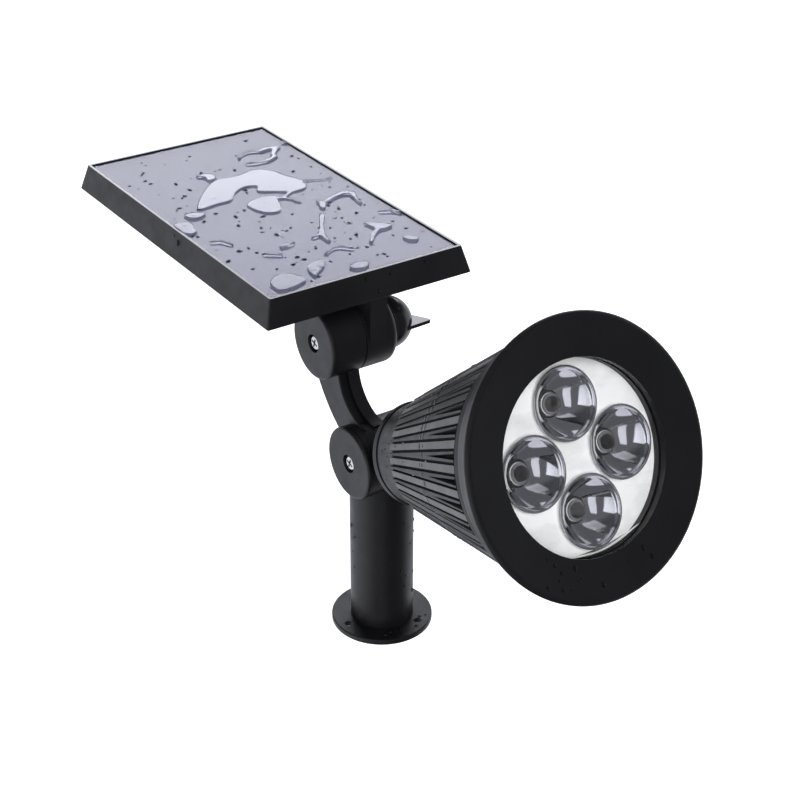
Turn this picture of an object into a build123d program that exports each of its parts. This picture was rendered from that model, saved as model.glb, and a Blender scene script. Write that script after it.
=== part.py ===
"""Solar garden light: a screw-down post, a curved bracket arm with two clamp hinges,
a ribbed spotlight with four light-emitting diodes, and a tilting solar panel.

Frame: millimetres, +Z up. The origin is the centre of the flange's underside.
The spotlight looks towards -Y, both hinge axes run along X, and the panel reaches back over +Y.
"""
import os
from math import cos, radians, sin, tan

from build123d import *

os.makedirs("parts", exist_ok=True)

# ---------------------------------------------------------------- driving dimensions (mm, degrees)
GAP = 0.3                     # free space between pieces that move past each other
RUN = 0.06                    # radial clearance of a pin that turns in its hole

# post and flange
POST_R = 12.75
POST_BORE_R = 10.2
FLANGE_R = 20.6
FLANGE_T = 2.2
FLANGE_HOLE_R = 1.7
FLANGE_HOLE_RING = 16.3
FLANGE_HOLES = 3
SOCKET_DEPTH = 45.0           # depth of the stake socket in the post's underside
PLUG_R = 9.5                  # the arm's plug, in the narrower bore above the socket
POST_SCREW_Z = 55.0
POST_SCREW_HOLE_R = 1.6
POST_SCREW_R = 1.25

# the two clamp hinges, alike apart from their places
HINGE_R = 14.7                # radius of a hinge head
HINGE_LEFT = 15.5             # from the middle plane to the cap's face
HINGE_RIGHT = 15.0            # from the middle plane to the knob's end of the moving half
CAP_T = 1.8                   # the loose disc under a hinge screw's head
CAP_GROOVE = 0.2
CAP_FILLET = 1.2
HALVES_SLIT = 0.15            # free space between the soft washer and the moving half
WASHER_R = 14.2
WASHER_T = 0.5
PIN_R = 2.0
SCREW_HEAD_R = 3.1
SCREW_HEAD_T = 2.4
SCREW_RECESS_R = 3.7
LOWER_Z = 78.1                # height of the lower hinge axis
UPPER_Y = 24.0                # the upper hinge axis lies behind and above the lower one
UPPER_Z = 120.2

# bracket arm between the hinges
ARM_LEFT = -10.0
ARM_RIGHT = -WASHER_T
ARM_FILLET = 0.5
GROOVE_LEFT = -9.0
GROOVE_RIGHT = -5.6
GROOVE_DEPTH = 2.0

# spotlight, measured along its own axis from the lower hinge
LAMP_TILT = 25.5              # the axis points this far above the horizontal
COLLAR_AT = 27.2              # rear face of the collar ring
COLLAR_T = 3.0
COLLAR_R = 20.0
RIBS_AT = 44.0
RIBS_END = 119.0
CONE_SMALL_R = 22.1           # radius of the bare cone under the first ribs
CONE_BIG_R = 40.8
BAND_R = 42.4                 # the plain band in front of the ribs, flush with their tops
RIB_COUNT = 32
RIB_HEIGHT = 1.3
SHELL_T = 2.2
HOUSING_END = 121.0
RIM_AT = 133.5
RIM_R = 48.0
FACE_R = 46.0
OPENING_R = 33.0
LENS_R = 34.2
LENS_FRONT = 129.6
LENS_T = 1.8
SEAL_T = 0.8                  # the soft ring between the lens and the bezel's lip
REFLECTOR_FRONT = 127.5       # the cups' mouths, which stand above the plate
PLATE_FRONT = 125.3
PLATE_T = 1.2
CUP_RING = 18.35
CUP_R = 11.8
CUP_DEPTH = 9.0
CUP_WALL = 1.0
CUPS = 4
BOARD_AT = 116.5              # rear face of the light board
BOARD_T = 1.6
SINK_T = 2.8
BATTERY_R = 9.2
BATTERY_L = 65.0
BATTERY_AT = 42.0

# solar panel, in its own plane whose origin is the middle of the tray's top rim
PANEL_Y = 83.5
PANEL_Z = 154.4
PANEL_PITCH = 1.2             # the back end is this far up
TRAY_TOP_HALF_L = 75.5
TRAY_TOP_HALF_W = 43.0
TRAY_H = 11.0
TRAY_TAPER = 14.9
TRAY_RIM = 1.1
TRAY_CORNER_R = 0.8
TRAY_LOW_FILLET = 0.25
GLASS_RECESS = 0.6
GLASS_T = 2.2
SEAL_W = 0.4                  # the soft strip between the glass and the tray's wall
CELL_T = 0.6
LEDGE_T = 1.4
LEDGE_W = 3.2
COVER_T = 2.0
BUTTON_R = 4.0
BUTTON_TRAVEL = 1.2

# ---------------------------------------------------------------- frames that the pieces share
LOWER_PIVOT = Vector(0, 0, LOWER_Z)
UPPER_PIVOT = Vector(0, UPPER_Y, UPPER_Z)
TILT = radians(LAMP_TILT)
LAMP_DIR = Vector(0, -cos(TILT), sin(TILT))
LAMP_UP = Vector(0, sin(TILT), cos(TILT))
LAMP_LINE = Axis(LOWER_PIVOT, LAMP_DIR)
PITCH = radians(PANEL_PITCH)
PANEL_ORIGIN = Vector(0, PANEL_Y, PANEL_Z)
PANEL_BACK = Vector(0, cos(PITCH), sin(PITCH))
PANEL_UP = Vector(0, -sin(PITCH), cos(PITCH))


def lamp_plane(along):
    """A plane across the spotlight's axis: its y points up, its z points forward."""
    return Plane(origin=LOWER_PIVOT + LAMP_DIR * along, x_dir=(1, 0, 0), z_dir=LAMP_DIR)


# a half section of the spotlight is drawn with x as radius and y as distance from the hinge
LAMP_SECTION = Plane(origin=LOWER_PIVOT, x_dir=(1, 0, 0), z_dir=-LAMP_UP)


def panel_plane(height):
    """A plane along the panel: its x is the frame's X, its y runs to the panel's back end."""
    return Plane(origin=PANEL_ORIGIN + PANEL_UP * height, x_dir=(1, 0, 0), z_dir=PANEL_UP)


def across(pivot, x):
    """A plane square to a hinge axis at x: its x is the frame's Y and its y is the frame's Z."""
    return Plane(origin=(x, pivot.Y, pivot.Z), x_dir=(0, 1, 0), z_dir=(1, 0, 0))


def save(part, name):
    part.label = name
    export_step(part, f"parts/{name}.step")


def round_edges(piece, radius):
    """The circular edges of a piece that have one radius."""
    circles = piece.edges().filter_by(GeomType.CIRCLE)
    return circles.filter_by(lambda edge: abs(edge.radius - radius) < 0.01)


def ring(plane, outer, inner, thickness):
    """A flat ring, or a disc where inner is 0, that grows from the plane."""
    with BuildPart() as piece:
        with BuildSketch(plane):
            Circle(outer)
            if inner:
                Circle(inner, mode=Mode.SUBTRACT)
        extrude(amount=thickness)
    return piece


# ---------------------------------------------------------------- base_flange and mount_post
POST_TOP = LOWER_Z - HINGE_R - GAP
SCREW_SIDE = Plane(origin=(0, POST_R, POST_SCREW_Z), x_dir=(1, 0, 0), z_dir=(0, 1, 0))

with BuildPart() as base_flange:
    with BuildSketch(Plane.XY):
        Circle(FLANGE_R)
    extrude(amount=FLANGE_T)
    fillet(base_flange.edges().filter_by(GeomType.CIRCLE).group_by(Axis.Z)[-1], 0.5)
    with BuildSketch(Plane.XY):
        Circle(POST_R)
        with PolarLocations(FLANGE_HOLE_RING, FLANGE_HOLES, start_angle=60):
            Circle(FLANGE_HOLE_R)
    extrude(amount=FLANGE_T, mode=Mode.SUBTRACT)
save(base_flange.part, "base_flange")

with BuildPart() as mount_post:
    with BuildSketch(Plane.XY):
        Circle(POST_R)
    extrude(amount=POST_TOP)
    with BuildSketch(Plane.XY):
        Circle(POST_BORE_R)
    extrude(amount=SOCKET_DEPTH, mode=Mode.SUBTRACT)
    # above the socket the bore narrows to take the arm's plug
    with BuildSketch(Plane.XY):
        Circle(PLUG_R + 0.1)
    extrude(amount=POST_TOP, mode=Mode.SUBTRACT)
    with BuildSketch(SCREW_SIDE):
        Circle(POST_SCREW_HOLE_R)
    extrude(amount=-POST_R / 2, mode=Mode.SUBTRACT)
save(mount_post.part, "mount_post")

# ---------------------------------------------------------------- bracket_arm
HEAD_LEFT = -HINGE_LEFT + CAP_T + CAP_GROOVE
HEAD_RIGHT = -WASHER_T
SEAT_X = -12.5                # where a hinge screw's head bears
PLUG_BOTTOM = SOCKET_DEPTH + 3.0

# The strap's rear edge is a long arc that bulges back; its front edge is two arcs that flare
# forward onto the lower head. All points are (Y, Z).
REAR_LOW, REAR_MID, REAR_TOP = (11.8, 82.4), (23.9, 92.9), (35.2, 112.6)
FRONT_LOW, FRONT_BEND, FRONT_TOP = (-3.0, 93.0), (11.3, 100.3), (15.0, 112.0)


def strap_profile(inset):
    """The strap between the hinge heads, with its front edge set back by inset."""
    with BuildSketch(Plane(origin=(0, 0, 0), x_dir=(0, 1, 0), z_dir=(1, 0, 0))) as profile:
        with BuildLine():
            low = (FRONT_LOW[0] + inset, FRONT_LOW[1] - inset)
            bend = (FRONT_BEND[0] + 0.7 * inset, FRONT_BEND[1] - 0.7 * inset)
            top = (FRONT_TOP[0] + inset, FRONT_TOP[1])
            Line(REAR_TOP, top)
            ThreePointArc(top, bend, low)
            Polyline(low, (0, LOWER_Z), REAR_LOW)
            ThreePointArc(REAR_LOW, REAR_MID, REAR_TOP)
        make_face()
    return profile.sketch


with BuildPart() as bracket_arm:
    for x_from, x_to, inset in (
        (ARM_LEFT, GROOVE_LEFT, 0.0),
        (GROOVE_LEFT, GROOVE_RIGHT, GROOVE_DEPTH),
        (GROOVE_RIGHT, ARM_RIGHT, 0.0),
    ):
        extrude(strap_profile(inset).moved(Location((x_from, 0, 0))), amount=x_to - x_from)
    outer = bracket_arm.edges().filter_by(lambda e: abs(e.center().X - ARM_LEFT) < 0.01)
    outer = outer.filter_by(lambda e: e.geom_type == GeomType.CIRCLE)
    fillet(outer, ARM_FILLET)
    for pivot in (LOWER_PIVOT, UPPER_PIVOT):
        with BuildSketch(across(pivot, HEAD_LEFT)):
            Circle(HINGE_R - 0.1)
        extrude(amount=HEAD_RIGHT - HEAD_LEFT)
    # a half-round saddle carries the lower head down onto the post
    with BuildSketch(Plane.XY.offset(POST_TOP)):
        Circle(POST_R)
        with Locations((POST_R + HEAD_RIGHT, 0)):
            Rectangle(2 * POST_R, 3 * POST_R, mode=Mode.SUBTRACT)
    extrude(amount=LOWER_Z - POST_TOP)
    # the plug that fills the post's top
    with BuildSketch(Plane.XY.offset(PLUG_BOTTOM)):
        Circle(PLUG_R)
    extrude(amount=POST_TOP - PLUG_BOTTOM)
    with BuildSketch(SCREW_SIDE):
        Circle(POST_SCREW_R + 0.05)
    extrude(amount=-POST_R, mode=Mode.SUBTRACT)
    for pivot in (LOWER_PIVOT, UPPER_PIVOT):
        with BuildSketch(across(pivot, HEAD_LEFT - 1)):
            Circle(SCREW_RECESS_R)
        extrude(amount=SEAT_X - HEAD_LEFT + 1, mode=Mode.SUBTRACT)
        with BuildSketch(across(pivot, HEAD_LEFT)):
            Circle(PIN_R + 0.15)
        extrude(amount=HEAD_RIGHT - HEAD_LEFT, mode=Mode.SUBTRACT)
        # the lower, smaller step behind the loose cap disc reads as a groove
        with BuildSketch(across(pivot, HEAD_LEFT)):
            Circle(HINGE_R + 1)
            Circle(HINGE_R - GAP, mode=Mode.SUBTRACT)
        extrude(amount=-CAP_GROOVE, mode=Mode.SUBTRACT)
save(bracket_arm.part, "bracket_arm")


# ---------------------------------------------------------------- hinge hardware
def make_cap(pivot):
    """The loose disc with rounded edges that covers a hinge head."""
    with BuildPart() as cap:
        with BuildSketch(across(pivot, -HINGE_LEFT)):
            Circle(HINGE_R)
            Circle(SCREW_RECESS_R, mode=Mode.SUBTRACT)
        extrude(amount=CAP_T)
        fillet(round_edges(cap, HINGE_R).sort_by(Axis.X)[0], CAP_FILLET)
        # a spigot of smaller radius fills the groove behind the disc
        with BuildSketch(across(pivot, -HINGE_LEFT + CAP_T)):
            Circle(HINGE_R - GAP)
            Circle(SCREW_RECESS_R, mode=Mode.SUBTRACT)
        extrude(amount=CAP_GROOVE)
    return cap.part


def make_hinge_screw(pivot):
    """A pan head machine screw with a cross recess, along +X through the whole hinge."""
    head_face = SEAT_X - SCREW_HEAD_T
    with BuildPart() as screw:
        with BuildSketch(across(pivot, SEAT_X)):
            Circle(SCREW_HEAD_R)
        extrude(amount=-SCREW_HEAD_T)
        rim = screw.edges().filter_by(GeomType.CIRCLE).group_by(Axis.X)[0]
        fillet(rim, 1.0)
        with BuildSketch(across(pivot, SEAT_X)):
            Circle(PIN_R)
        extrude(amount=SCREW_TIP - SEAT_X)
        with BuildSketch(across(pivot, head_face)):
            Rectangle(3.8, 0.9, rotation=20)
            Rectangle(0.9, 3.8, rotation=20)
        extrude(amount=1.4, mode=Mode.SUBTRACT)
    return screw.part


KNUCKLE_RIGHT = HINGE_RIGHT
KNUCKLE_FILLET = 2.8
KNOB_AT = KNUCKLE_RIGHT + GAP
KNOB_BASE_R = 11.2
KNOB_LENGTH = 12.6
KNOB_TIP_R = 4.2
KNOB_CROWN = 0.8              # height of the rounded end over the tip's edge
KNOB_SHOULDER = (9.1, 8.4)     # a point on the dome's flank: radius, distance from the base
WING_T = 1.5
# one half of the wings' butterfly outline, as (distance from the base, distance from the axis)
WING_HALF = [(14.0, 1.5), (18.0, 8.8), (17.7, 9.6), (4.0, 10.2)]
SCREW_TIP = KNOB_AT + 8.0
INSERT_R = 3.6
INSERT_L = 6.0


def make_knob(pivot):
    """A domed knob with two flat wings; its axis runs along +X from its base."""
    base = across(pivot, KNOB_AT)
    section = Plane(origin=base.origin, x_dir=(0, 1, 0), z_dir=(0, 0, -1))
    with BuildPart() as knob:
        with BuildSketch(section):
            with BuildLine():
                Line((0, 0), (KNOB_BASE_R, 0))
                Line((KNOB_BASE_R, 0), (KNOB_BASE_R, 1.2))
                shoulder = (KNOB_BASE_R - 0.5, 1.8)
                Line((KNOB_BASE_R, 1.2), shoulder)
                ThreePointArc(shoulder, KNOB_SHOULDER, (KNOB_TIP_R, KNOB_LENGTH))
                crown = (0, KNOB_LENGTH + KNOB_CROWN)
                crown_flank = (KNOB_TIP_R / 2, KNOB_LENGTH + 0.75 * KNOB_CROWN)
                ThreePointArc((KNOB_TIP_R, KNOB_LENGTH), crown_flank, crown)
                Line(crown, (0, 0))
            make_face()
        revolve(axis=Axis(base.origin, (1, 0, 0)))
        # one flat plate makes both wings, with a notch between them at the tip
        other_half = [(along, -off) for along, off in reversed(WING_HALF)]
        with BuildSketch(Plane(origin=base.origin, x_dir=(1, 0, 0), z_dir=(0, 0, 1))):
            with BuildLine():
                Polyline(*WING_HALF, *other_half, close=True)
            make_face()
        extrude(amount=WING_T / 2, both=True)
        with BuildSketch(base):
            Circle(INSERT_R)
        extrude(amount=INSERT_L, mode=Mode.SUBTRACT)
        with BuildSketch(base):
            Circle(PIN_R + 0.4)
        extrude(amount=SCREW_TIP - KNOB_AT + 0.6, mode=Mode.SUBTRACT)
    return knob.part


for where, pivot in (("lower", LOWER_PIVOT), ("upper", UPPER_PIVOT)):
    save(make_cap(pivot), f"{where}_hinge_cap")
    save(make_hinge_screw(pivot), f"{where}_hinge_screw")
    save(make_knob(pivot), f"{where}_knob")
    insert = ring(across(pivot, KNOB_AT), INSERT_R, PIN_R + RUN, INSERT_L)
    save(insert.part, f"{where}_knob_insert")
    washer = ring(across(pivot, HEAD_RIGHT), WASHER_R, PIN_R + 0.15, WASHER_T)
    save(washer.part, f"{where}_friction_washer")

with BuildPart() as post_screw:
    with BuildSketch(SCREW_SIDE):
        Circle(2.6)
    extrude(amount=1.6)
    fillet(post_screw.edges().filter_by(GeomType.CIRCLE).group_by(Axis.Y)[-1], 0.7)
    with BuildSketch(SCREW_SIDE):
        Circle(POST_SCREW_R)
    extrude(amount=-9)
    with BuildSketch(SCREW_SIDE.offset(1.6)):
        Rectangle(2.8, 0.7)
        Rectangle(0.7, 2.8)
    extrude(amount=-0.9, mode=Mode.SUBTRACT)
save(post_screw.part, "post_screw")

# ---------------------------------------------------------------- lamp_neck: knuckle and collar
NECK_LEFT, NECK_RIGHT = 1.2, 13.6
NECK_SCREW_RING = 14.2
with BuildPart() as lamp_neck:
    with BuildSketch(lamp_plane(COLLAR_AT)):
        Circle(COLLAR_R)
    extrude(amount=COLLAR_T)
    fillet(round_edges(lamp_neck, COLLAR_R).sort_by(LAMP_LINE)[0], 0.8)
    with BuildSketch(across(LOWER_PIVOT, HALVES_SLIT)):
        Circle(HINGE_R - 0.1)
    extrude(amount=KNUCKLE_RIGHT - HALVES_SLIT)
    fillet(round_edges(lamp_neck, HINGE_R - 0.1).sort_by(Axis.X)[-1], KNUCKLE_FILLET)
    # the neck widens from the knuckle to the collar
    with BuildSketch(Plane(origin=LOWER_PIVOT, x_dir=LAMP_DIR, z_dir=(1, 0, 0)).offset(NECK_LEFT)):
        with BuildLine():
            Polyline(
                (6, 6.5), (13, 6.5), (COLLAR_AT, 15), (COLLAR_AT, -15), (13, -6.5), (6, -6.5),
                close=True,
            )
        make_face()
    extrude(amount=NECK_RIGHT - NECK_LEFT)
    with BuildSketch(lamp_plane(COLLAR_AT + COLLAR_T)):
        Circle(17.2)
    extrude(amount=5.8)
    with BuildSketch(lamp_plane(COLLAR_AT + COLLAR_T + 5.8)):
        with PolarLocations(NECK_SCREW_RING, 3, start_angle=90):
            Circle(1.25)
    extrude(amount=-7.5, mode=Mode.SUBTRACT)
    with BuildSketch(across(LOWER_PIVOT, HALVES_SLIT)):
        Circle(PIN_R + RUN)
    extrude(amount=KNUCKLE_RIGHT, mode=Mode.SUBTRACT)
save(lamp_neck.part, "lamp_neck")

# ---------------------------------------------------------------- lamp_housing: ribbed shell
SHELL_START = COLLAR_AT + COLLAR_T
WEB_AT = SHELL_START + 6.0
SPIGOT_R = 17.4
SKIRT_BORE_R = 36.8
SKIRT_AT = 113.0


def cone_radius(along):
    """Radius of the bare cone at a distance from the hinge."""
    share = (along - RIBS_AT) / (RIBS_END - RIBS_AT)
    return CONE_SMALL_R + share * (CONE_BIG_R - CONE_SMALL_R)


with BuildPart() as lamp_housing:
    with BuildSketch(LAMP_SECTION):
        with BuildLine():
            Polyline(
                (SPIGOT_R, SHELL_START),
                (COLLAR_R - 0.4, SHELL_START),
                (CONE_SMALL_R, RIBS_AT),
                (CONE_BIG_R, RIBS_END - 1),
                (BAND_R - 0.3, RIBS_END - 0.8),
                (BAND_R, HOUSING_END),
                (SKIRT_BORE_R, HOUSING_END),
                (SKIRT_BORE_R, SKIRT_AT),
                (cone_radius(SKIRT_AT) - SHELL_T, SKIRT_AT),
                (CONE_SMALL_R - SHELL_T, RIBS_AT),
                (CONE_SMALL_R - SHELL_T, WEB_AT + 2),
                (10.2, WEB_AT + 2),
                (10.2, WEB_AT),
                (SPIGOT_R, WEB_AT),
                close=True,
            )
        make_face()
    revolve(axis=LAMP_LINE)
    with BuildSketch(lamp_plane(WEB_AT)):
        with PolarLocations(NECK_SCREW_RING, 3, start_angle=90):
            Circle(1.6)
    extrude(amount=2, mode=Mode.SUBTRACT)
    # raised ribs, each a thin wedge that follows the cone
    for index in range(RIB_COUNT):
        turn = radians(index * 360 / RIB_COUNT)
        outwards = Vector(1, 0, 0) * cos(turn) + LAMP_UP * sin(turn)
        sideways = LAMP_DIR.cross(outwards)
        with BuildSketch(Plane(origin=LOWER_PIVOT, x_dir=outwards, z_dir=-sideways)):
            with BuildLine():
                Polyline(
                    (CONE_SMALL_R - 0.6, RIBS_AT),
                    (CONE_SMALL_R + RIB_HEIGHT, RIBS_AT + 0.8),
                    (CONE_BIG_R + RIB_HEIGHT, RIBS_END - 0.6),
                    (CONE_BIG_R - 0.8, RIBS_END - 0.4),
                    close=True,
                )
            make_face()
        extrude(amount=1.2, both=True)
save(lamp_housing.part, "lamp_housing")

# ---------------------------------------------------------------- bezel and optics
with BuildPart() as bezel:
    with BuildSketch(LAMP_SECTION):
        with BuildLine():
            rear_out = (BAND_R + 0.2, HOUSING_END + 0.1)
            waist = (BAND_R + 1.2, 123.4)
            lip = (RIM_R, RIM_AT - 0.5)
            rim = (RIM_R, RIM_AT)
            face = (FACE_R, RIM_AT + 0.95)
            opening = (OPENING_R, RIM_AT - 1.1)
            Line((LENS_R + 0.3, SKIRT_AT + 1), (SKIRT_BORE_R - 0.2, SKIRT_AT + 1))
            Line((SKIRT_BORE_R - 0.2, SKIRT_AT + 1), (SKIRT_BORE_R - 0.2, HOUSING_END + 0.1))
            Line((SKIRT_BORE_R - 0.2, HOUSING_END + 0.1), rear_out)
            Line(rear_out, waist)
            ThreePointArc(waist, (RIM_R - 2.6, 128.6), lip)
            Line(lip, rim)
            ThreePointArc(rim, (RIM_R - 0.5, RIM_AT + 0.62), face)
            Line(face, opening)
            Line(opening, (OPENING_R, LENS_FRONT + SEAL_T))
            Line((OPENING_R, LENS_FRONT + SEAL_T), (LENS_R + 0.3, LENS_FRONT + SEAL_T))
            Line((LENS_R + 0.3, LENS_FRONT + SEAL_T), (LENS_R + 0.3, SKIRT_AT + 1))
        make_face()
    revolve(axis=LAMP_LINE)
save(bezel.part, "bezel")

lens_seal = ring(lamp_plane(LENS_FRONT), LENS_R + 0.1, OPENING_R + 0.1, SEAL_T)
save(lens_seal.part, "lens_seal")
lens = ring(lamp_plane(LENS_FRONT - LENS_T), LENS_R, 0, LENS_T)
save(lens.part, "lens")
lens_spacer = ring(lamp_plane(PLATE_FRONT), LENS_R, OPENING_R, LENS_FRONT - LENS_T - PLATE_FRONT)
save(lens_spacer.part, "lens_spacer")

CUP_BOTTOM = REFLECTOR_FRONT - CUP_DEPTH
LED_HOLE_R = 3.8


def cup_curve(radius_at_mouth, depth):
    """Points of a cup's parabola, from its floor hole to its mouth."""
    steps = 5
    points = []
    for step in range(steps + 1):
        radius = LED_HOLE_R + (radius_at_mouth - LED_HOLE_R) * step / steps
        rise = (radius**2 - LED_HOLE_R**2) / (radius_at_mouth**2 - LED_HOLE_R**2)
        points.append((radius, depth * rise))
    return points


def cup_spots():
    """Centres of the four cups at the hinge's distance, from which the axes run forward."""
    for index in range(CUPS):
        turn = radians(90 + index * 360 / CUPS)
        yield LOWER_PIVOT + (Vector(1, 0, 0) * cos(turn) + LAMP_UP * sin(turn)) * CUP_RING


def make_cups(radius_at_mouth):
    """Four solid cup shapes at the reflector's places."""
    with BuildPart() as cups:
        for centre in cup_spots():
            floor = centre + LAMP_DIR * CUP_BOTTOM
            with BuildSketch(Plane(origin=floor, x_dir=(1, 0, 0), z_dir=-LAMP_UP)):
                with BuildLine():
                    curve = cup_curve(radius_at_mouth, CUP_DEPTH)
                    Spline(*curve)
                    Polyline(curve[-1], (0, CUP_DEPTH), (0, 0), curve[0])
                make_face()
            revolve(axis=Axis(centre, LAMP_DIR))
    return cups.part


cup_outsides = make_cups(CUP_R + CUP_WALL)
cup_insides = make_cups(CUP_R)
with BuildPart() as reflector:
    with BuildSketch(lamp_plane(PLATE_FRONT - PLATE_T)):
        Circle(LENS_R)
    extrude(amount=PLATE_T)
    add(cup_outsides)
    add(cup_insides, mode=Mode.SUBTRACT)
save(reflector.part, "reflector")

BOARD_FRONT = BOARD_AT + BOARD_T
with BuildPart() as led_board:
    with BuildSketch(lamp_plane(BOARD_AT)):
        Circle(LENS_R)
        with PolarLocations(28, 3, start_angle=45):
            Circle(1.6, mode=Mode.SUBTRACT)
        Circle(2.0, mode=Mode.SUBTRACT)
    extrude(amount=BOARD_T)
save(led_board.part, "led_board")

with BuildPart() as led_emitters:
    with BuildSketch(lamp_plane(BOARD_FRONT)):
        with PolarLocations(CUP_RING, CUPS, start_angle=90):
            RectangleRounded(3.6, 3.6, 0.4)
    extrude(amount=0.8)
save(led_emitters.part, "led_emitters")

DOME_R = 2.7
DOME_RIM_R = 3.7
DOME_RIM_T = 0.5
with BuildPart() as led_domes:
    for centre in cup_spots():
        base = centre + LAMP_DIR * (BOARD_FRONT + 0.8)
        with BuildSketch(Plane(origin=base, x_dir=(1, 0, 0), z_dir=-LAMP_UP)):
            with BuildLine():
                top = (0, DOME_RIM_T + DOME_R)
                rim = [(DOME_RIM_R, 0), (DOME_RIM_R, DOME_RIM_T), (DOME_R, DOME_RIM_T)]
                Polyline(top, (0, 0), *rim)
                CenterArc((0, DOME_RIM_T), DOME_R, 0, 90)
            make_face()
        revolve(axis=Axis(centre, LAMP_DIR))
save(led_domes.part, "led_domes")

with BuildPart() as heat_sink:
    with BuildSketch(lamp_plane(BOARD_AT - SINK_T)):
        Circle(LENS_R)
        with PolarLocations(28, 3, start_angle=45):
            Circle(1.25, mode=Mode.SUBTRACT)
    extrude(amount=SINK_T)
save(heat_sink.part, "heat_sink")

with BuildPart() as led_board_screws:
    with BuildSketch(lamp_plane(BOARD_FRONT)):
        with PolarLocations(28, 3, start_angle=45):
            Circle(2.4)
    extrude(amount=1.3)
    with BuildSketch(lamp_plane(BOARD_FRONT)):
        with PolarLocations(28, 3, start_angle=45):
            Circle(1.2)
    extrude(amount=-4.2)
save(led_board_screws.part, "led_board_screws")

with BuildPart() as neck_screws:
    with BuildSketch(lamp_plane(WEB_AT + 2)):
        with PolarLocations(NECK_SCREW_RING, 3, start_angle=90):
            Circle(2.5)
    extrude(amount=1.7)
    with BuildSketch(lamp_plane(WEB_AT + 2)):
        with PolarLocations(NECK_SCREW_RING, 3, start_angle=90):
            Circle(1.2)
    extrude(amount=-8.5)
save(neck_screws.part, "neck_screws")

# ---------------------------------------------------------------- battery and driver board
battery = ring(lamp_plane(BATTERY_AT), BATTERY_R, 0, BATTERY_L)
save(battery.part, "battery")

with BuildPart() as battery_cradle:
    CRADLE_BACK = WEB_AT + 2.1
    CRADLE_FRONT = BATTERY_AT + BATTERY_L + 2.0
    cradle_half = 10.9
    with BuildSketch(lamp_plane(CRADLE_BACK)):
        with BuildLine():
            CenterArc((0, 0), cradle_half, 180, 180)
            Line((cradle_half, 0), (-cradle_half, 0))
        make_face()
        Circle(BATTERY_R + 0.2, mode=Mode.SUBTRACT)
    extrude(amount=CRADLE_FRONT - CRADLE_BACK)
save(battery_cradle.part, "battery_cradle")

with BuildPart() as battery_contacts:
    for at in (BATTERY_AT - 0.7, BATTERY_AT + BATTERY_L + 0.1):
        with BuildSketch(lamp_plane(at)):
            Circle(6.0)
        extrude(amount=0.6)
save(battery_contacts.part, "battery_contacts")

DRIVER_AT = BATTERY_AT + BATTERY_L + 2.4
driver_board = ring(lamp_plane(DRIVER_AT), 22.0, 1.6, 1.4)
save(driver_board.part, "driver_board")

# ---------------------------------------------------------------- solar panel
TRAY_DRAFT = tan(radians(TRAY_TAPER)) * TRAY_H
TRAY_LOW_HALF_L = TRAY_TOP_HALF_L + TRAY_DRAFT
TRAY_LOW_HALF_W = TRAY_TOP_HALF_W + TRAY_DRAFT
POCKET_HALF_L = TRAY_TOP_HALF_L - TRAY_RIM
POCKET_HALF_W = TRAY_TOP_HALF_W - TRAY_RIM
GLASS_HALF_L = POCKET_HALF_L - SEAL_W - 0.05
GLASS_HALF_W = POCKET_HALF_W - SEAL_W - 0.05
POCKET_DEPTH = GLASS_RECESS + GLASS_T + CELL_T
LEDGE_BOTTOM = -(POCKET_DEPTH + LEDGE_T)
SCREW_SPOTS = [(x, y) for x in (-37.5, 37.5) for y in (-69.5, 0, 69.5)]

with BuildPart() as panel_tray:
    with BuildSketch(panel_plane(-TRAY_H)):
        Rectangle(2 * TRAY_LOW_HALF_W, 2 * TRAY_LOW_HALF_L)
    extrude(amount=TRAY_H, taper=TRAY_TAPER)
    fillet(panel_tray.edges().filter_by(lambda edge: abs(edge.tangent_at(0).Z) > 0.5), TRAY_CORNER_R)
    fillet(panel_tray.faces().sort_by(Axis.Z)[0].edges(), TRAY_LOW_FILLET)
    with BuildSketch(panel_plane(0)):
        RectangleRounded(2 * POCKET_HALF_W, 2 * POCKET_HALF_L, 0.5)
    extrude(amount=-POCKET_DEPTH, mode=Mode.SUBTRACT)
    with BuildSketch(panel_plane(0)):
        RectangleRounded(2 * (POCKET_HALF_W - LEDGE_W), 2 * (POCKET_HALF_L - LEDGE_W), 0.5)
    extrude(amount=-TRAY_H, mode=Mode.SUBTRACT)
    with BuildSketch(panel_plane(LEDGE_BOTTOM)):
        RectangleRounded(2 * (POCKET_HALF_W + 0.6), 2 * (POCKET_HALF_L + 0.6), 1.0)
    extrude(amount=-TRAY_H, mode=Mode.SUBTRACT)
    with BuildSketch(panel_plane(LEDGE_BOTTOM)):
        with Locations(*SCREW_SPOTS):
            Circle(3.2)
        with Locations(*SCREW_SPOTS):
            Circle(1.0, mode=Mode.SUBTRACT)
    extrude(amount=-(TRAY_H - COVER_T + LEDGE_BOTTOM))
save(panel_tray.part, "panel_tray")

with BuildPart() as solar_glass:
    with BuildSketch(panel_plane(-GLASS_RECESS - GLASS_T)):
        RectangleRounded(2 * GLASS_HALF_W, 2 * GLASS_HALF_L, 0.4)
    extrude(amount=GLASS_T)
save(solar_glass.part, "solar_glass")

with BuildPart() as panel_seal:
    with BuildSketch(panel_plane(-GLASS_RECESS - GLASS_T)):
        RectangleRounded(2 * (GLASS_HALF_W + SEAL_W), 2 * (GLASS_HALF_L + SEAL_W), 0.5)
        RectangleRounded(2 * GLASS_HALF_W + 0.1, 2 * GLASS_HALF_L + 0.1, 0.45, mode=Mode.SUBTRACT)
    extrude(amount=GLASS_T - 0.1)
save(panel_seal.part, "panel_seal")

with BuildPart() as cell_sheet:
    with BuildSketch(panel_plane(-POCKET_DEPTH)):
        RectangleRounded(2 * GLASS_HALF_W, 2 * GLASS_HALF_L, 0.4)
    extrude(amount=CELL_T)
save(cell_sheet.part, "cell_sheet")

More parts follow.
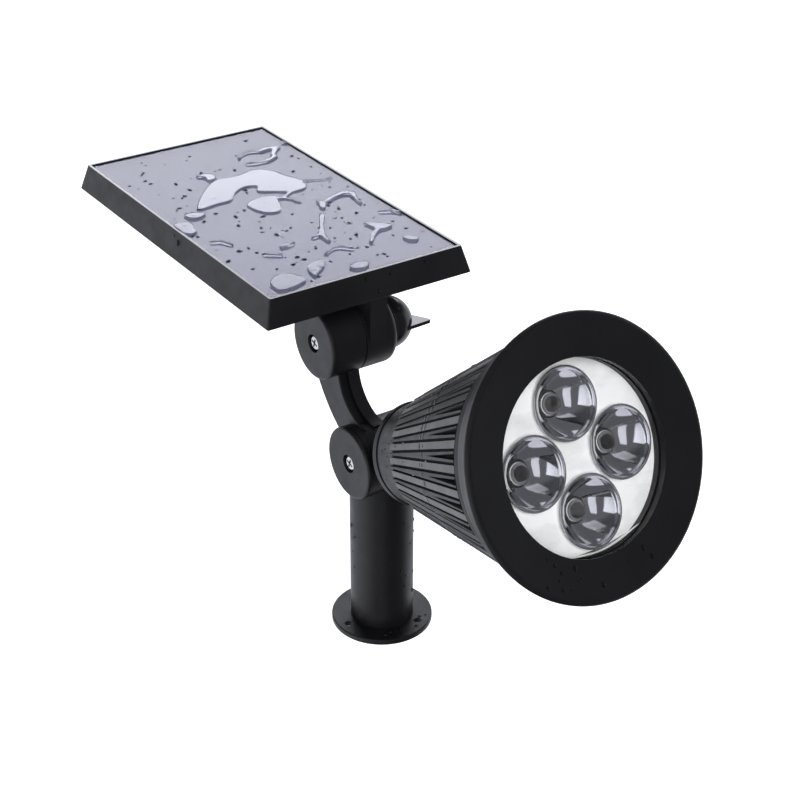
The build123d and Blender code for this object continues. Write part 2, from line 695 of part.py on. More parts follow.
COVER_HALF_L = POCKET_HALF_L + 0.4
COVER_HALF_W = POCKET_HALF_W + 0.4
BUTTON_SPOT = (0, 52)
HINGE_SPOT_Y = -(PANEL_ORIGIN - UPPER_PIVOT).dot(PANEL_BACK)
FOOT_HALF = 13.0
FOOT_X = 5.0
FOOT_Y = HINGE_SPOT_Y + 9.0     # the foot reaches back from the hinge
FOOT_T = 2.6
FOOT_SCREWS = [(FOOT_X + x, FOOT_Y + y) for x in (-9.5, 9.5) for y in (-8.5, 8.5)]

with BuildPart() as back_cover:
    with BuildSketch(panel_plane(-TRAY_H)):
        RectangleRounded(2 * COVER_HALF_W, 2 * COVER_HALF_L, 1.0)
        with Locations(*SCREW_SPOTS):
            Circle(1.4, mode=Mode.SUBTRACT)
        with Locations(*FOOT_SCREWS):
            Circle(1.2, mode=Mode.SUBTRACT)
        with Locations(BUTTON_SPOT):
            Circle(BUTTON_R + 0.25, mode=Mode.SUBTRACT)
    extrude(amount=COVER_T)
    with BuildSketch(panel_plane(-TRAY_H)):
        with Locations(*SCREW_SPOTS):
            Circle(2.6)
    extrude(amount=0.9, mode=Mode.SUBTRACT)
save(back_cover.part, "back_cover")

with BuildPart() as cover_screws:
    with BuildSketch(panel_plane(-TRAY_H + 0.1)):
        with Locations(*SCREW_SPOTS):
            Circle(2.4)
    extrude(amount=0.8)
    with BuildSketch(panel_plane(-TRAY_H + 0.9)):
        with Locations(*SCREW_SPOTS):
            Circle(0.95)
    extrude(amount=3.6)
save(cover_screws.part, "cover_screws")

# the bracket foot under the panel and its half of the upper hinge
FOOT_TOP = -TRAY_H
PIVOT_DROP = (PANEL_ORIGIN - UPPER_PIVOT).dot(PANEL_UP)
BLOCK_RIGHT = 9.0
with BuildPart() as panel_knuckle:
    with BuildSketch(panel_plane(FOOT_TOP - FOOT_T)):
        with Locations((FOOT_X, FOOT_Y)):
            RectangleRounded(2 * FOOT_HALF, 2 * FOOT_HALF - 2, 3)
    extrude(amount=FOOT_T)
    with BuildSketch(across(UPPER_PIVOT, HALVES_SLIT)):
        Circle(HINGE_R - 0.1)
    extrude(amount=KNUCKLE_RIGHT - HALVES_SLIT)
    fillet(round_edges(panel_knuckle, HINGE_R - 0.1).sort_by(Axis.X)[-1], KNUCKLE_FILLET)
    neck_plane = Plane(origin=UPPER_PIVOT, x_dir=PANEL_BACK, z_dir=(1, 0, 0)).offset(NECK_LEFT)
    with BuildSketch(neck_plane):
        with BuildLine():
            top = PIVOT_DROP - TRAY_H
            front = HINGE_R - 0.1
            Polyline((-front, top), (-front, 0), (9.5, 0), (front, top), close=True)
        make_face()
    extrude(amount=BLOCK_RIGHT - NECK_LEFT)
    with BuildSketch(across(UPPER_PIVOT, HALVES_SLIT)):
        Circle(PIN_R + RUN)
    extrude(amount=KNUCKLE_RIGHT, mode=Mode.SUBTRACT)
    with BuildSketch(panel_plane(FOOT_TOP - FOOT_T)):
        with Locations(*FOOT_SCREWS):
            Circle(1.4)
    extrude(amount=FOOT_T, mode=Mode.SUBTRACT)
save(panel_knuckle.part, "panel_knuckle")

with BuildPart() as knuckle_screws:
    with BuildSketch(panel_plane(FOOT_TOP - FOOT_T)):
        with Locations(*FOOT_SCREWS):
            Circle(2.4)
    extrude(amount=-1.4)
    with BuildSketch(panel_plane(FOOT_TOP - FOOT_T)):
        with Locations(*FOOT_SCREWS):
            Circle(1.15)
    extrude(amount=FOOT_T + COVER_T + 0.8)
save(knuckle_screws.part, "knuckle_screws")

# charge board, mode switch and its push button on the panel's underside
CHARGE_BOARD_TOP = -POCKET_DEPTH - 0.1
CHARGE_BOARD_T = 1.2
SWITCH_H = 1.0
with BuildPart() as charge_board:
    with BuildSketch(panel_plane(CHARGE_BOARD_TOP - CHARGE_BOARD_T)):
        with Locations((0, 45)):
            Rectangle(44, 34)
    extrude(amount=CHARGE_BOARD_T)
save(charge_board.part, "charge_board")

SWITCH_TOP = CHARGE_BOARD_TOP - CHARGE_BOARD_T
with BuildPart() as mode_switch:
    with BuildSketch(panel_plane(SWITCH_TOP - SWITCH_H)):
        with Locations(BUTTON_SPOT):
            Rectangle(6, 6)
    extrude(amount=SWITCH_H)
save(mode_switch.part, "mode_switch")

BUTTON_TOP = SWITCH_TOP - SWITCH_H - BUTTON_TRAVEL - 0.1
BUTTON_LOW = -TRAY_H - 1.6
with BuildPart() as mode_button:
    with BuildSketch(panel_plane(BUTTON_LOW)):
        with Locations(BUTTON_SPOT):
            Circle(BUTTON_R)
    extrude(amount=BUTTON_TOP - BUTTON_LOW)
    # a collar inside the cover keeps the button from falling out
    with BuildSketch(panel_plane(BUTTON_TOP)):
        with Locations(BUTTON_SPOT):
            Circle(BUTTON_R + 1.4)
    extrude(amount=-0.8)
    fillet(round_edges(mode_button, BUTTON_R).sort_by(Axis.Z)[0], 0.6)
save(mode_button.part, "mode_button")
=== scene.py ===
"""The looks of the solar garden light: materials, ribbed shell, reflector, water, light and camera.

Everything is in metres in the CAD's frame; lengths written in millimetres are multiplied by MM.
"""
import random
from math import cos, pi, radians, sin, sqrt

import bmesh
import bpy
from mathutils import Matrix, Vector
from mathutils.geometry import convex_hull_2d


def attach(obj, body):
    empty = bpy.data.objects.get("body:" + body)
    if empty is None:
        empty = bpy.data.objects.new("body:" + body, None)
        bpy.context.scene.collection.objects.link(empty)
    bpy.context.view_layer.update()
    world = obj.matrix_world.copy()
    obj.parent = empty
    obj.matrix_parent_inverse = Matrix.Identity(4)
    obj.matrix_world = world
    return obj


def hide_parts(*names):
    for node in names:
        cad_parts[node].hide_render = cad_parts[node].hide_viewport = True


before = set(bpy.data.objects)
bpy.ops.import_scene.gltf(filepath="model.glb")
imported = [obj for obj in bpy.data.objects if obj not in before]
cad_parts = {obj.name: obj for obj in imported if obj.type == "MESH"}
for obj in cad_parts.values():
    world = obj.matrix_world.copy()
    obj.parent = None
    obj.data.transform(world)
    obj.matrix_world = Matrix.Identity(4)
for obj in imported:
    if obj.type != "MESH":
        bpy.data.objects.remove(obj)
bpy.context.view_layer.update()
scene = bpy.context.scene
MM = 0.001

# ---------------------------------------------------------------- places taken from the CAD's frame
LOWER_PIVOT = Vector((0, 0, 78.1)) * MM
LAMP_TILT = radians(25.5)
LAMP_DIR = Vector((0, -cos(LAMP_TILT), sin(LAMP_TILT)))
LAMP_UP = Vector((0, sin(LAMP_TILT), cos(LAMP_TILT)))
SIDE = Vector((1, 0, 0))
PANEL_PITCH = radians(1.2)
PANEL_ORIGIN = Vector((0, 83.5, 154.4)) * MM
PANEL_BACK = Vector((0, cos(PANEL_PITCH), sin(PANEL_PITCH)))
PANEL_UP = Vector((0, -sin(PANEL_PITCH), cos(PANEL_PITCH)))
UP = Vector((0, 0, 1))

# millimetres, as in the CAD
GLASS_TOP = -0.6              # height of the glass's face in the panel's own plane
TRAY_TAPER = 14.9             # degrees the tray's walls lean out towards its foot
POST_R, FLANGE_T = 12.75, 2.2
LENS_FRONT, OPENING_R = 129.6, 32.9
RIM_FRONT, RIM_FACE_R = 134.45, 46.0      # the outer edge of the bezel's face
RIM_SLOPE = 2.05 / 13.1       # the face falls back this much per millimetre towards the opening


def lamp_point(x, up, along):
    """A point from millimetres across, above and along the spotlight's axis."""
    return LOWER_PIVOT + (SIDE * x + LAMP_UP * up + LAMP_DIR * along) * MM


def panel_point(x, back, height=GLASS_TOP):
    """A point from millimetres across, back and above the middle of the panel's rim."""
    return PANEL_ORIGIN + (SIDE * x + PANEL_BACK * back + PANEL_UP * height) * MM


# ---------------------------------------------------------------- camera
CAMERA_PLACE = Vector((-316.7, -471.7, 417.8)) * MM
CAMERA_HEADING = -34.6        # degrees about Z, 0 looks along +Y
CAMERA_DOWN = 29.1            # degrees below the horizontal
CAMERA_ROLL = 0.2
SENSOR = 36.0
LENS = 76.05


def add_camera():
    """A camera at the place and heading solved from the photo."""
    data = bpy.data.cameras.new("camera")
    data.sensor_width = SENSOR
    data.lens = LENS
    data.clip_start = 0.02
    data.clip_end = 20
    camera = bpy.data.objects.new("camera", data)
    scene.collection.objects.link(camera)
    turn = Matrix.Rotation(radians(CAMERA_HEADING), 4, "Z")
    tip = Matrix.Rotation(radians(90 - CAMERA_DOWN), 4, "X")
    roll = Matrix.Rotation(radians(CAMERA_ROLL), 4, "Z")
    camera.matrix_world = Matrix.Translation(CAMERA_PLACE) @ turn @ tip @ roll
    scene.camera = camera


add_camera()
scene.view_settings.view_transform = "Standard"


# ---------------------------------------------------------------- material helpers
def new_node(tree, kind, inputs=None, **settings):
    """A node with its settings and its input values or the sockets that feed them."""
    made = tree.nodes.new(kind)
    for name, value in settings.items():
        setattr(made, name, value)
    for name, value in (inputs or {}).items():
        socket = made.inputs[name]
        if isinstance(value, bpy.types.NodeSocket):
            tree.links.new(value, socket)
        else:
            socket.default_value = value
    return made


def new_material(name, color, roughness, **values):
    """A principled material, its tree and its shader; other values go on the shader's sockets."""
    material = bpy.data.materials.new(name)
    material.use_nodes = True
    tree = material.node_tree
    shader = tree.nodes["Principled BSDF"]
    shader.inputs["Base Color"].default_value = (*color, 1)
    shader.inputs["Roughness"].default_value = roughness
    for key, value in values.items():
        shader.inputs[key.replace("_", " ")].default_value = value
    return material, tree, shader


def noise(tree, scale, detail=3.0, roughness=0.5, stretch=(1, 1, 1)):
    """A noise value over the object's own metres."""
    place = new_node(tree, "ShaderNodeTexCoord").outputs["Object"]
    if stretch != (1, 1, 1):
        place = new_node(tree, "ShaderNodeMapping", {"Vector": place, "Scale": stretch}).outputs[0]
    inputs = {"Vector": place, "Scale": scale, "Detail": detail, "Roughness": roughness}
    return new_node(tree, "ShaderNodeTexNoise", inputs).outputs["Fac"]


def spread(tree, value, low, high, start=0.3, end=0.7):
    """Maps a value from start..end onto low..high."""
    inputs = {"Value": value, "From Min": start, "From Max": end, "To Min": low, "To Max": high}
    return new_node(tree, "ShaderNodeMapRange", inputs).outputs["Result"]


def blend_colors(tree, share, first, second):
    """Goes from the first colour to the second as the share goes from 0 to 1."""
    made = new_node(tree, "ShaderNodeMix", {"Factor": share}, data_type="RGBA")
    # the colour sockets share their names with number sockets, so they are taken by type
    for key, color in (("A", first), ("B", second)):
        socket = [s for s in made.inputs if s.name == key and s.type == "RGBA"][0]
        if isinstance(color, bpy.types.NodeSocket):
            tree.links.new(color, socket)
        else:
            socket.default_value = (*color, 1)
    return [s for s in made.outputs if s.type == "RGBA"][0]


def add_bump(tree, shader, height, depth, strength=1.0):
    """Depth is in millimetres."""
    inputs = {"Height": height, "Distance": depth * MM, "Strength": strength}
    bump = new_node(tree, "ShaderNodeBump", inputs)
    tree.links.new(bump.outputs["Normal"], shader.inputs["Normal"])


def plastic(name, dark, light, rough_low, rough_high, grain_scale=1700, grain_depth=0.012, **values):
    """Moulded plastic: faint flow marks in colour and gloss over a fine moulded grain."""
    material, tree, shader = new_material(name, dark, rough_high, **values)
    flow = noise(tree, 60, 4.0, 0.6)
    color = blend_colors(tree, spread(tree, flow, 0, 1), dark, light)
    tree.links.new(color, shader.inputs["Base Color"])
    patches = noise(tree, 140, 5.0, 0.65)
    tree.links.new(spread(tree, patches, rough_low, rough_high), shader.inputs["Roughness"])
    add_bump(tree, shader, noise(tree, grain_scale, 2.0, 0.6), grain_depth)
    return material


def metal(name, color, rough_low, rough_high, scratch=(1, 1, 1)):
    """Bare metal: brushed or turned lines in its gloss and its surface."""
    material, tree, shader = new_material(name, color, rough_high, Metallic=1.0)
    lines = noise(tree, 900, 4.0, 0.6, scratch)
    tree.links.new(spread(tree, lines, rough_low, rough_high), shader.inputs["Roughness"])
    tint = [0.82 * part for part in color]
    shade = blend_colors(tree, spread(tree, noise(tree, 200), 0, 1), color, tint)
    tree.links.new(shade, shader.inputs["Base Color"])
    add_bump(tree, shader, lines, 0.006)
    return material


def let_lamps_through(material, tree, shader):
    """Clear pieces cast no shadow: shadow rays meet a plain see-through shader instead."""
    path = new_node(tree, "ShaderNodeLightPath").outputs["Is Shadow Ray"]
    see_through = new_node(tree, "ShaderNodeBsdfTransparent", {"Color": (1, 1, 1, 1)})
    mix = new_node(tree, "ShaderNodeMixShader", {0: path})
    tree.links.new(shader.outputs[0], mix.inputs[1])
    tree.links.new(see_through.outputs[0], mix.inputs[2])
    tree.links.new(mix.outputs[0], tree.nodes["Material Output"].inputs["Surface"])
    return material


def clear(name, color, ior, ripple_scale=30, ripple_depth=0.02, rough=0.0):
    """Glass, clear plastic or water, with a slow ripple in its face."""
    values = {"Transmission_Weight": 1.0, "IOR": ior}
    material, tree, shader = new_material(name, color, rough, **values)
    add_bump(tree, shader, noise(tree, ripple_scale, 2.0), ripple_depth)
    tint = blend_colors(tree, noise(tree, 25, 2.0), color, [0.985 * part for part in color])
    tree.links.new(tint, shader.inputs["Base Color"])
    return let_lamps_through(material, tree, shader)


# ---------------------------------------------------------------- materials
BLACK = (0.0055, 0.0055, 0.0062)
BLACK_LIGHT = (0.0085, 0.0085, 0.0095)
body_black = plastic("body_black", BLACK, BLACK_LIGHT, 0.36, 0.50)
rib_black = plastic("rib_black", (0.006, 0.006, 0.0065), (0.010, 0.010, 0.011), 0.40, 0.52, 1500, 0.016)
# the flat strips are the ribs' plastic in a lighter colour: a painted sheen where their flat faces catch more
# light
strip_painted_sheen = plastic("strip_painted_sheen", (0.036, 0.036, 0.037), (0.052, 0.052, 0.054), 0.27, 0.38, 1500, 0.012)
knob_black = plastic("knob_black", BLACK, BLACK_LIGHT, 0.13, 0.20, 1700, 0.004)
# near black, darker than the plastic itself: painted shade in the gaps and slots between the strips and ribs
gap_painted_shade = plastic("gap_painted_shade", (0.001, 0.001, 0.001), (0.002, 0.002, 0.002), 0.75, 0.9)
bezel_black = plastic("bezel_black", (0.0045, 0.0045, 0.005), (0.006, 0.006, 0.0068), 0.40, 0.48, 2200, 0.007)
rubber = plastic("rubber", (0.012, 0.012, 0.012), (0.02, 0.02, 0.02), 0.6, 0.8, 1200, 0.02)
grey_plastic = plastic("grey_plastic", (0.10, 0.10, 0.105), (0.13, 0.13, 0.135), 0.4, 0.55)
steel = metal("bright_steel", (0.80, 0.80, 0.82), 0.08, 0.20)
brass = metal("brass", (0.78, 0.58, 0.28), 0.18, 0.32, (1, 6, 6))
aluminium = metal("aluminium", (0.70, 0.71, 0.73), 0.25, 0.42, (8, 1, 1))
lens_clear = clear("lens_clear", (0.985, 0.99, 1.0), 1.49, 22, 0.015)
# the LEDs' clear domes are tinted dark grey: painted shade for the LEDs on the cups' dim floors
dome_painted_dark = clear("dome_painted_dark", (0.26, 0.26, 0.27), 1.45, 300, 0.004, 0.3)
panel_glass_clear = clear("panel_glass_clear", (0.985, 0.99, 1.0), 1.5, 160, 0.004, 0.27)
water = clear("water", (0.99, 0.995, 1.0), 1.333, 400, 0.002)
# the fine drops' water is tinted dark grey, which clear water isn't: painted shade that makes the small beads
# read dark
water_painted_dark = clear("water_painted_dark", (0.24, 0.25, 0.29), 1.333, 400, 0.002)
battery_blue = plastic("battery_blue", (0.03, 0.10, 0.30), (0.04, 0.13, 0.36), 0.2, 0.32, 600, 0.004)
white_mask = plastic("white_mask", (0.72, 0.73, 0.73), (0.80, 0.81, 0.81), 0.35, 0.5, 900, 0.004)
green_mask = plastic("green_mask", (0.01, 0.09, 0.03), (0.02, 0.15, 0.06), 0.25, 0.4, 500, 0.02)
# the phosphor's dark grey is not its own colour: painted shade for the LEDs on the cups' dim floors
phosphor = plastic("phosphor", (0.13, 0.125, 0.12), (0.17, 0.165, 0.155), 0.3, 0.45, 1500, 0.01)


def make_mirror():
    """Bright vacuum-metallised plastic with faint smudges."""
    material, tree, shader = new_material("reflector_mirror", (0.9, 0.9, 0.9), 0.06, Metallic=1.0)
    smudge = noise(tree, 45, 4.0, 0.6)
    tree.links.new(spread(tree, smudge, 0.02, 0.06, 0.35, 0.75), shader.inputs["Roughness"])
    shade = blend_colors(tree, spread(tree, smudge, 0, 1), (0.88, 0.88, 0.90), (0.80, 0.80, 0.81))
    tree.links.new(shade, shader.inputs["Base Color"])
    add_bump(tree, shader, noise(tree, 260, 3.0), 0.010)
    return material


def make_plate_white():
    """The reflector's flat plate: a bright, nearly white metallised face with cloudy smudges."""
    material, tree, shader = new_material("reflector_plate", (0.95, 0.95, 0.95), 0.3)
    cloud = noise(tree, 38, 5.0, 0.62, (1, 1, 2.2))
    shade = blend_colors(tree, spread(tree, cloud, 0, 1, 0.46, 0.70), (0.97, 0.97, 0.97), (0.70, 0.70, 0.69))
    tree.links.new(shade, shader.inputs["Base Color"])
    tree.links.new(spread(tree, cloud, 0.12, 0.35), shader.inputs["Roughness"])
    add_bump(tree, shader, noise(tree, 120, 4.0), 0.01)
    return material


def make_cells():
    """Dark silicon under thin silver fingers that run across the panel, with bus bars between."""
    values = {"Coat_Weight": 0.3, "Coat_Roughness": 0.15}
    material, tree, shader = new_material("solar_cells", (0.03, 0.035, 0.07), 0.35, **values)
    place = new_node(tree, "ShaderNodeTexCoord").outputs["Object"]
    axes = new_node(tree, "ShaderNodeSeparateXYZ", {"Vector": place})

    def stripe(axis, pitch, width, offset=0.0):
        """1 on lines of a width, repeated at a pitch, both in millimetres."""
        shifted = new_node(tree, "ShaderNodeMath", {0: axes.outputs[axis], 1: offset * MM}, operation="ADD")
        inputs = {0: shifted.outputs[0], 1: pitch * MM}
        folded = new_node(tree, "ShaderNodeMath", inputs, operation="PINGPONG")
        inputs = {0: folded.outputs[0], 1: width / 2 * MM}
        return new_node(tree, "ShaderNodeMath", inputs, operation="LESS_THAN").outputs[0]

    crystal = new_node(tree, "ShaderNodeTexVoronoi", {"Vector": place, "Scale": 260}).outputs["Color"]
    tone = new_node(tree, "ShaderNodeSeparateColor", {"Color": crystal}).outputs[0]
    silicon = blend_colors(tree, tone, (0.042, 0.050, 0.150), (0.066, 0.076, 0.200))
    fingers = blend_colors(tree, stripe("Y", 0.9, 0.10), silicon, (0.13, 0.135, 0.19))
    bars = blend_colors(tree, stripe("X", 13.9, 0.5, 7.0), fingers, (0.115, 0.12, 0.18))
    gaps = blend_colors(tree, stripe("Y", 24.6, 0.6, 5.0), bars, (0.10, 0.105, 0.16))
    tree.links.new(gaps, shader.inputs["Base Color"])
    tree.links.new(spread(tree, noise(tree, 90, 4.0), 0.25, 0.45), shader.inputs["Roughness"])
    return material


def make_tray_black():
    """The tray's moulded walls, with the narrow flat top of its rim polished."""
    material, tree, shader = new_material("tray_black", BLACK, 0.45)
    flow = noise(tree, 60, 4.0, 0.6)
    color = blend_colors(tree, spread(tree, flow, 0, 1), BLACK, BLACK_LIGHT)
    tree.links.new(color, shader.inputs["Base Color"])
    facing = new_node(tree, "ShaderNodeVectorMath", operation="DOT_PRODUCT")
    tree.links.new(new_node(tree, "ShaderNodeTexCoord").outputs["Normal"], facing.inputs[0])
    facing.inputs[1].default_value = PANEL_UP
    walls = spread(tree, noise(tree, 140, 5.0, 0.65), 0.36, 0.50)
    on_top = spread(tree, facing.outputs["Value"], 0, 1, 0.97, 0.99)
    gloss = new_node(tree, "ShaderNodeMapRange", {"Value": on_top, "To Min": walls, "To Max": 0.15})
    tree.links.new(gloss.outputs["Result"], shader.inputs["Roughness"])
    add_bump(tree, shader, noise(tree, 1700, 2.0, 0.6), 0.008)
    return material


tray_black = make_tray_black()
mirror = make_mirror()
plate_white = make_plate_white()
cells = make_cells()

FINISH = {
    body_black: (
        "base_flange", "mount_post", "bracket_arm", "lower_hinge_cap", "upper_hinge_cap", "lamp_neck",
        "lamp_housing", "back_cover", "panel_knuckle",
    ),
    tray_black: ("panel_tray",),
    knob_black: ("lower_knob", "upper_knob"),
    bezel_black: ("bezel", "lens_spacer"),
    rubber: ("lower_friction_washer", "upper_friction_washer", "lens_seal", "panel_seal", "mode_button"),
    steel: (
        "lower_hinge_screw", "upper_hinge_screw", "post_screw", "neck_screws", "led_board_screws",
        "cover_screws", "knuckle_screws", "battery_contacts",
    ),
    brass: ("lower_knob_insert", "upper_knob_insert"),
    lens_clear: ("lens",),
    dome_painted_dark: ("led_domes",),
    mirror: ("reflector",),
    phosphor: ("led_emitters",),
    white_mask: ("led_board",),
    aluminium: ("heat_sink",),
    battery_blue: ("battery",),
    grey_plastic: ("battery_cradle", "mode_switch"),
    green_mask: ("driver_board", "charge_board"),
    panel_glass_clear: ("solar_glass",),
    cells: ("cell_sheet",),
}


def finish_nodes():
    """Gives each CAD node its material."""
    for material, names in FINISH.items():
        for name in names:
            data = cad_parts[name].data
            data.materials.clear()
            data.materials.append(material)


finish_nodes()


# ---------------------------------------------------------------- mesh helpers
def show_mesh(mesh, body, slot, sharp, *materials):
    """Shows a mesh as a piece that rides on a body; edges sharper than the angle stay crisp."""
    mesh.shade_smooth()
    mesh.set_sharp_from_angle(angle=radians(sharp))
    for material in materials:
        mesh.materials.append(material)
    piece = bpy.data.objects.new(mesh.name, mesh)
    scene.collection.objects.link(piece)
    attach(piece, body)
    return piece


def new_piece(name, points, faces, body, slot, *materials, sharp):
    """A piece from its points and faces."""
    mesh = bpy.data.meshes.new(name)
    mesh.from_pydata([tuple(point) for point in points], [], faces)
    mesh.validate()
    return show_mesh(mesh, body, slot, sharp, *materials)


def ring_faces(first, second, count):
    """Quads between two closed rings of points that start at these indices."""
    faces = []
    for i in range(count):
        j = (i + 1) % count
        faces.append((first + i, first + j, second + j, second + i))
    return faces


# ---------------------------------------------------------------- ribbed shell of the spotlight
# Distances along the lamp's axis run from the lower hinge; all lengths are millimetres.
RIB_UNITS = 32                            # each unit is a flat strip and a rib with a slot in it
SHELL_START, RIBS_START, RIBS_END, SHELL_END = 30.2, 44.0, 118.0, 121.0
FLOOR_BACK = 19.6                         # radius of the bare cone at the shell's rear end
FLOOR_REAR, FLOOR_FRONT = 22.1, 40.8      # radius of the bare cone where the ribs start and end
RELIEF = 1.35                             # height of the ribs over the cone
STRIP_W_REAR, STRIP_W_FRONT = 2.45, 2.95
STRIP_SINK = 0.25                         # the flat strips lie this far below the ribs' crowns
GAP_W = 0.70                              # gap between a strip and a rib
STRIP_AT, RIB_AT = 47.0, 45.4             # where the strips and the ribs start
SLOT_AT, SLOT_W, SLOT_DEEP = 91.6, 1.9, 2.6   # where the slots start, their width in front, their depth
EDGE_W = 0.16                             # width of the rounded edge of a strip or rib
RIB_CROWN = 0.066                         # share of a rib's height that its crown falls towards its sides
BAND_R = 42.4                             # the plain band in front of the ribs
# the inside, as in the CAD: bore for the bezel's skirt, wall, rear web with its bore, bore for the neck
SKIRT_AT, SKIRT_BORE_R = 113.0, 36.8
SHELL_T = 2.2
WEB_FRONT, WEB_BACK, WEB_BORE_R, SPIGOT_R = 38.2, 36.2, 10.2, 17.4

# the look of each face round one unit's outline: 0 rib, 1 strip with its painted sheen, 2 gap or slot with
# its painted shade
SECTION_LOOKS = (2, 1, 1, 1, 1, 2, 2, 2, 0, 0, 0, 0, 2, 2, 2, 0, 0, 0, 0, 2, 2)


def cone_floor(along):
    """Radius of the bare cone at a distance along the axis."""
    if along <= RIBS_START:
        share = (along - SHELL_START) / (RIBS_START - SHELL_START)
        return FLOOR_BACK + share * (FLOOR_REAR - FLOOR_BACK)
    share = min(1.0, (along - RIBS_START) / (RIBS_END - RIBS_START))
    return FLOOR_REAR + share * (FLOOR_FRONT - FLOOR_REAR)


def rise(value, start, length):
    """A quarter-round step from 0 at the start to 1 after the length."""
    share = min(1.0, max(0.0, (value - start) / length))
    return sqrt(1 - (1 - share) ** 2)


def unit_section(along):
    """One unit's outline at a distance along the axis: (millimetres round the shell, height) pairs."""
    radius = cone_floor(along) + RELIEF
    unit = 2 * pi * radius / RIB_UNITS
    share = (along - RIBS_START) / (RIBS_END - RIBS_START)
    strip = STRIP_W_REAR + share * (STRIP_W_FRONT - STRIP_W_REAR)
    rib = unit - strip - 2 * GAP_W
    ending = 1 - rise(along, RIBS_END - 0.5, 0.5)
    strip_high = (RELIEF - STRIP_SINK) * rise(along, STRIP_AT, 0.25) * ending
    rib_high = RELIEF * rise(along, RIB_AT, 1.2) * ending
    tip = 0.45 + 0.55 * rise(along, RIB_AT, 1.6)
    slot = 0.03 + SLOT_W * max(0.0, (along - SLOT_AT) / (RIBS_END - SLOT_AT))
    slot_deep = SLOT_DEEP * rise(along, SLOT_AT, 2.5) * (1 - rise(along, RIBS_END - 0.35, 0.35))
    half = rib / 2 * tip
    middle = strip / 2 + GAP_W + rib / 2
    edge = EDGE_W
    shoulder = rib_high - RIB_CROWN * rib_high
    section = [
        (-strip / 2, 0), (-strip / 2 + edge / 2, strip_high * 0.85), (-strip / 2 + edge, strip_high),
        (0, strip_high),
        (strip / 2 - edge, strip_high), (strip / 2 - edge / 2, strip_high * 0.85), (strip / 2, 0),
        (middle - half, 0), (middle - half + edge / 2, rib_high * 0.78),
        (middle - half + edge, rib_high * 0.9), (middle - half * 0.6, shoulder),
        (middle - slot / 2 - 0.10, rib_high),
        (middle - slot / 2, rib_high - slot_deep * 0.1), (middle - slot / 4, rib_high - slot_deep),
        (middle + slot / 4, rib_high - slot_deep), (middle + slot / 2, rib_high - slot_deep * 0.1),
        (middle + slot / 2 + 0.10, rib_high),
        (middle + half * 0.6, shoulder), (middle + half - edge, rib_high * 0.9),
        (middle + half - edge / 2, rib_high * 0.78), (middle + half, 0),
    ]
    return radius, section


def shell_rows():
    """Distances along the axis, close together where the ribs and slots begin and end."""
    rows = [SHELL_START, 33.0, 37.0, 41.0, 44.0, 45.3]
    rows += [RIB_AT + step for step in (0.03, 0.12, 0.3, 0.6, 1.0, 1.3)]
    rows += [STRIP_AT + step for step in (0.0, 0.03, 0.1, 0.25)]
    rows += [50.0 + 2.6 * step for step in range(16)]
    rows += [SLOT_AT + step for step in (0.0, 0.1, 0.4, 0.9, 1.4)]
    rows += [94.0 + 2.6 * step for step in range(9)]
    rows += [RIBS_END + step for step in (-0.5, -0.45, -0.35, -0.33, -0.2, -0.08, 0.0)]
    rows += [RIBS_END + 0.25, RIBS_END + 0.55, SHELL_END]
    return rows


def band_radius(along):
    """The plain band's radius, with its rear edge rounded in two steps."""
    if along < RIBS_END + 0.3:
        return BAND_R - 0.35
    if along < RIBS_END + 1:
        return BAND_R - 0.12
    return BAND_R


def make_shell():
    """The lamp's ribbed shell: one outline carried round the axis, row by row, with a lathed inside."""
    rows = shell_rows()
    points = []
    count = RIB_UNITS * len(SECTION_LOOKS)
    for along in rows:
        radius, section = unit_section(max(along, RIBS_START))
        floor = band_radius(along) if along > RIBS_END else cone_floor(along)
        for unit in range(RIB_UNITS):
            for across_mm, height in section:
                angle = 2 * pi * unit / RIB_UNITS + across_mm / radius
                reach = floor + (height if along <= RIBS_END else 0)
                points.append(lamp_point(reach * cos(angle), reach * sin(angle), along))
    # the inside, back from the front edge: skirt bore, inner cone and rear web
    inner = [
        (SHELL_END, SKIRT_BORE_R), (SKIRT_AT, SKIRT_BORE_R), (SKIRT_AT, cone_floor(SKIRT_AT) - SHELL_T),
        (RIBS_START, FLOOR_REAR - SHELL_T), (WEB_FRONT, FLOOR_REAR - SHELL_T), (WEB_FRONT, WEB_BORE_R),
        (WEB_BACK, WEB_BORE_R), (WEB_BACK, SPIGOT_R), (SHELL_START, SPIGOT_R),
    ]
    angles = []
    _, section = unit_section(SHELL_END)
    for unit in range(RIB_UNITS):
        for across_mm, _ in section:
            angles.append(2 * pi * unit / RIB_UNITS + across_mm / BAND_R)
    for along, reach in inner:
        points += [lamp_point(reach * cos(angle), reach * sin(angle), along) for angle in angles]
    faces = []
    total = len(rows) + len(inner)
    for row in range(total):
        after = (row + 1) % total
        faces += [face[::-1] for face in ring_faces(row * count, after * count, count)]
    looks = (rib_black, strip_painted_sheen, gap_painted_shade)
    shell = new_piece("ribbed_shell", points, faces, "lamp", "black_plastic", *looks, sharp=30)
    # the flat strips have a glossier face than the ribs and a painted sheen in their lighter colour; the gaps
    # and slots are dull, with painted shade in their near-black colour
    first_row, last_row = rows.index(STRIP_AT), rows.index(RIBS_END - 0.5)
    for polygon in shell.data.polygons:
        row, place = divmod(min(polygon.vertices), count)
        if row * count + count - 1 in polygon.vertices:
            place = count - 1
        if first_row <= row < last_row:
            polygon.material_index = SECTION_LOOKS[place % len(section)]
    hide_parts("lamp_housing")


make_shell()


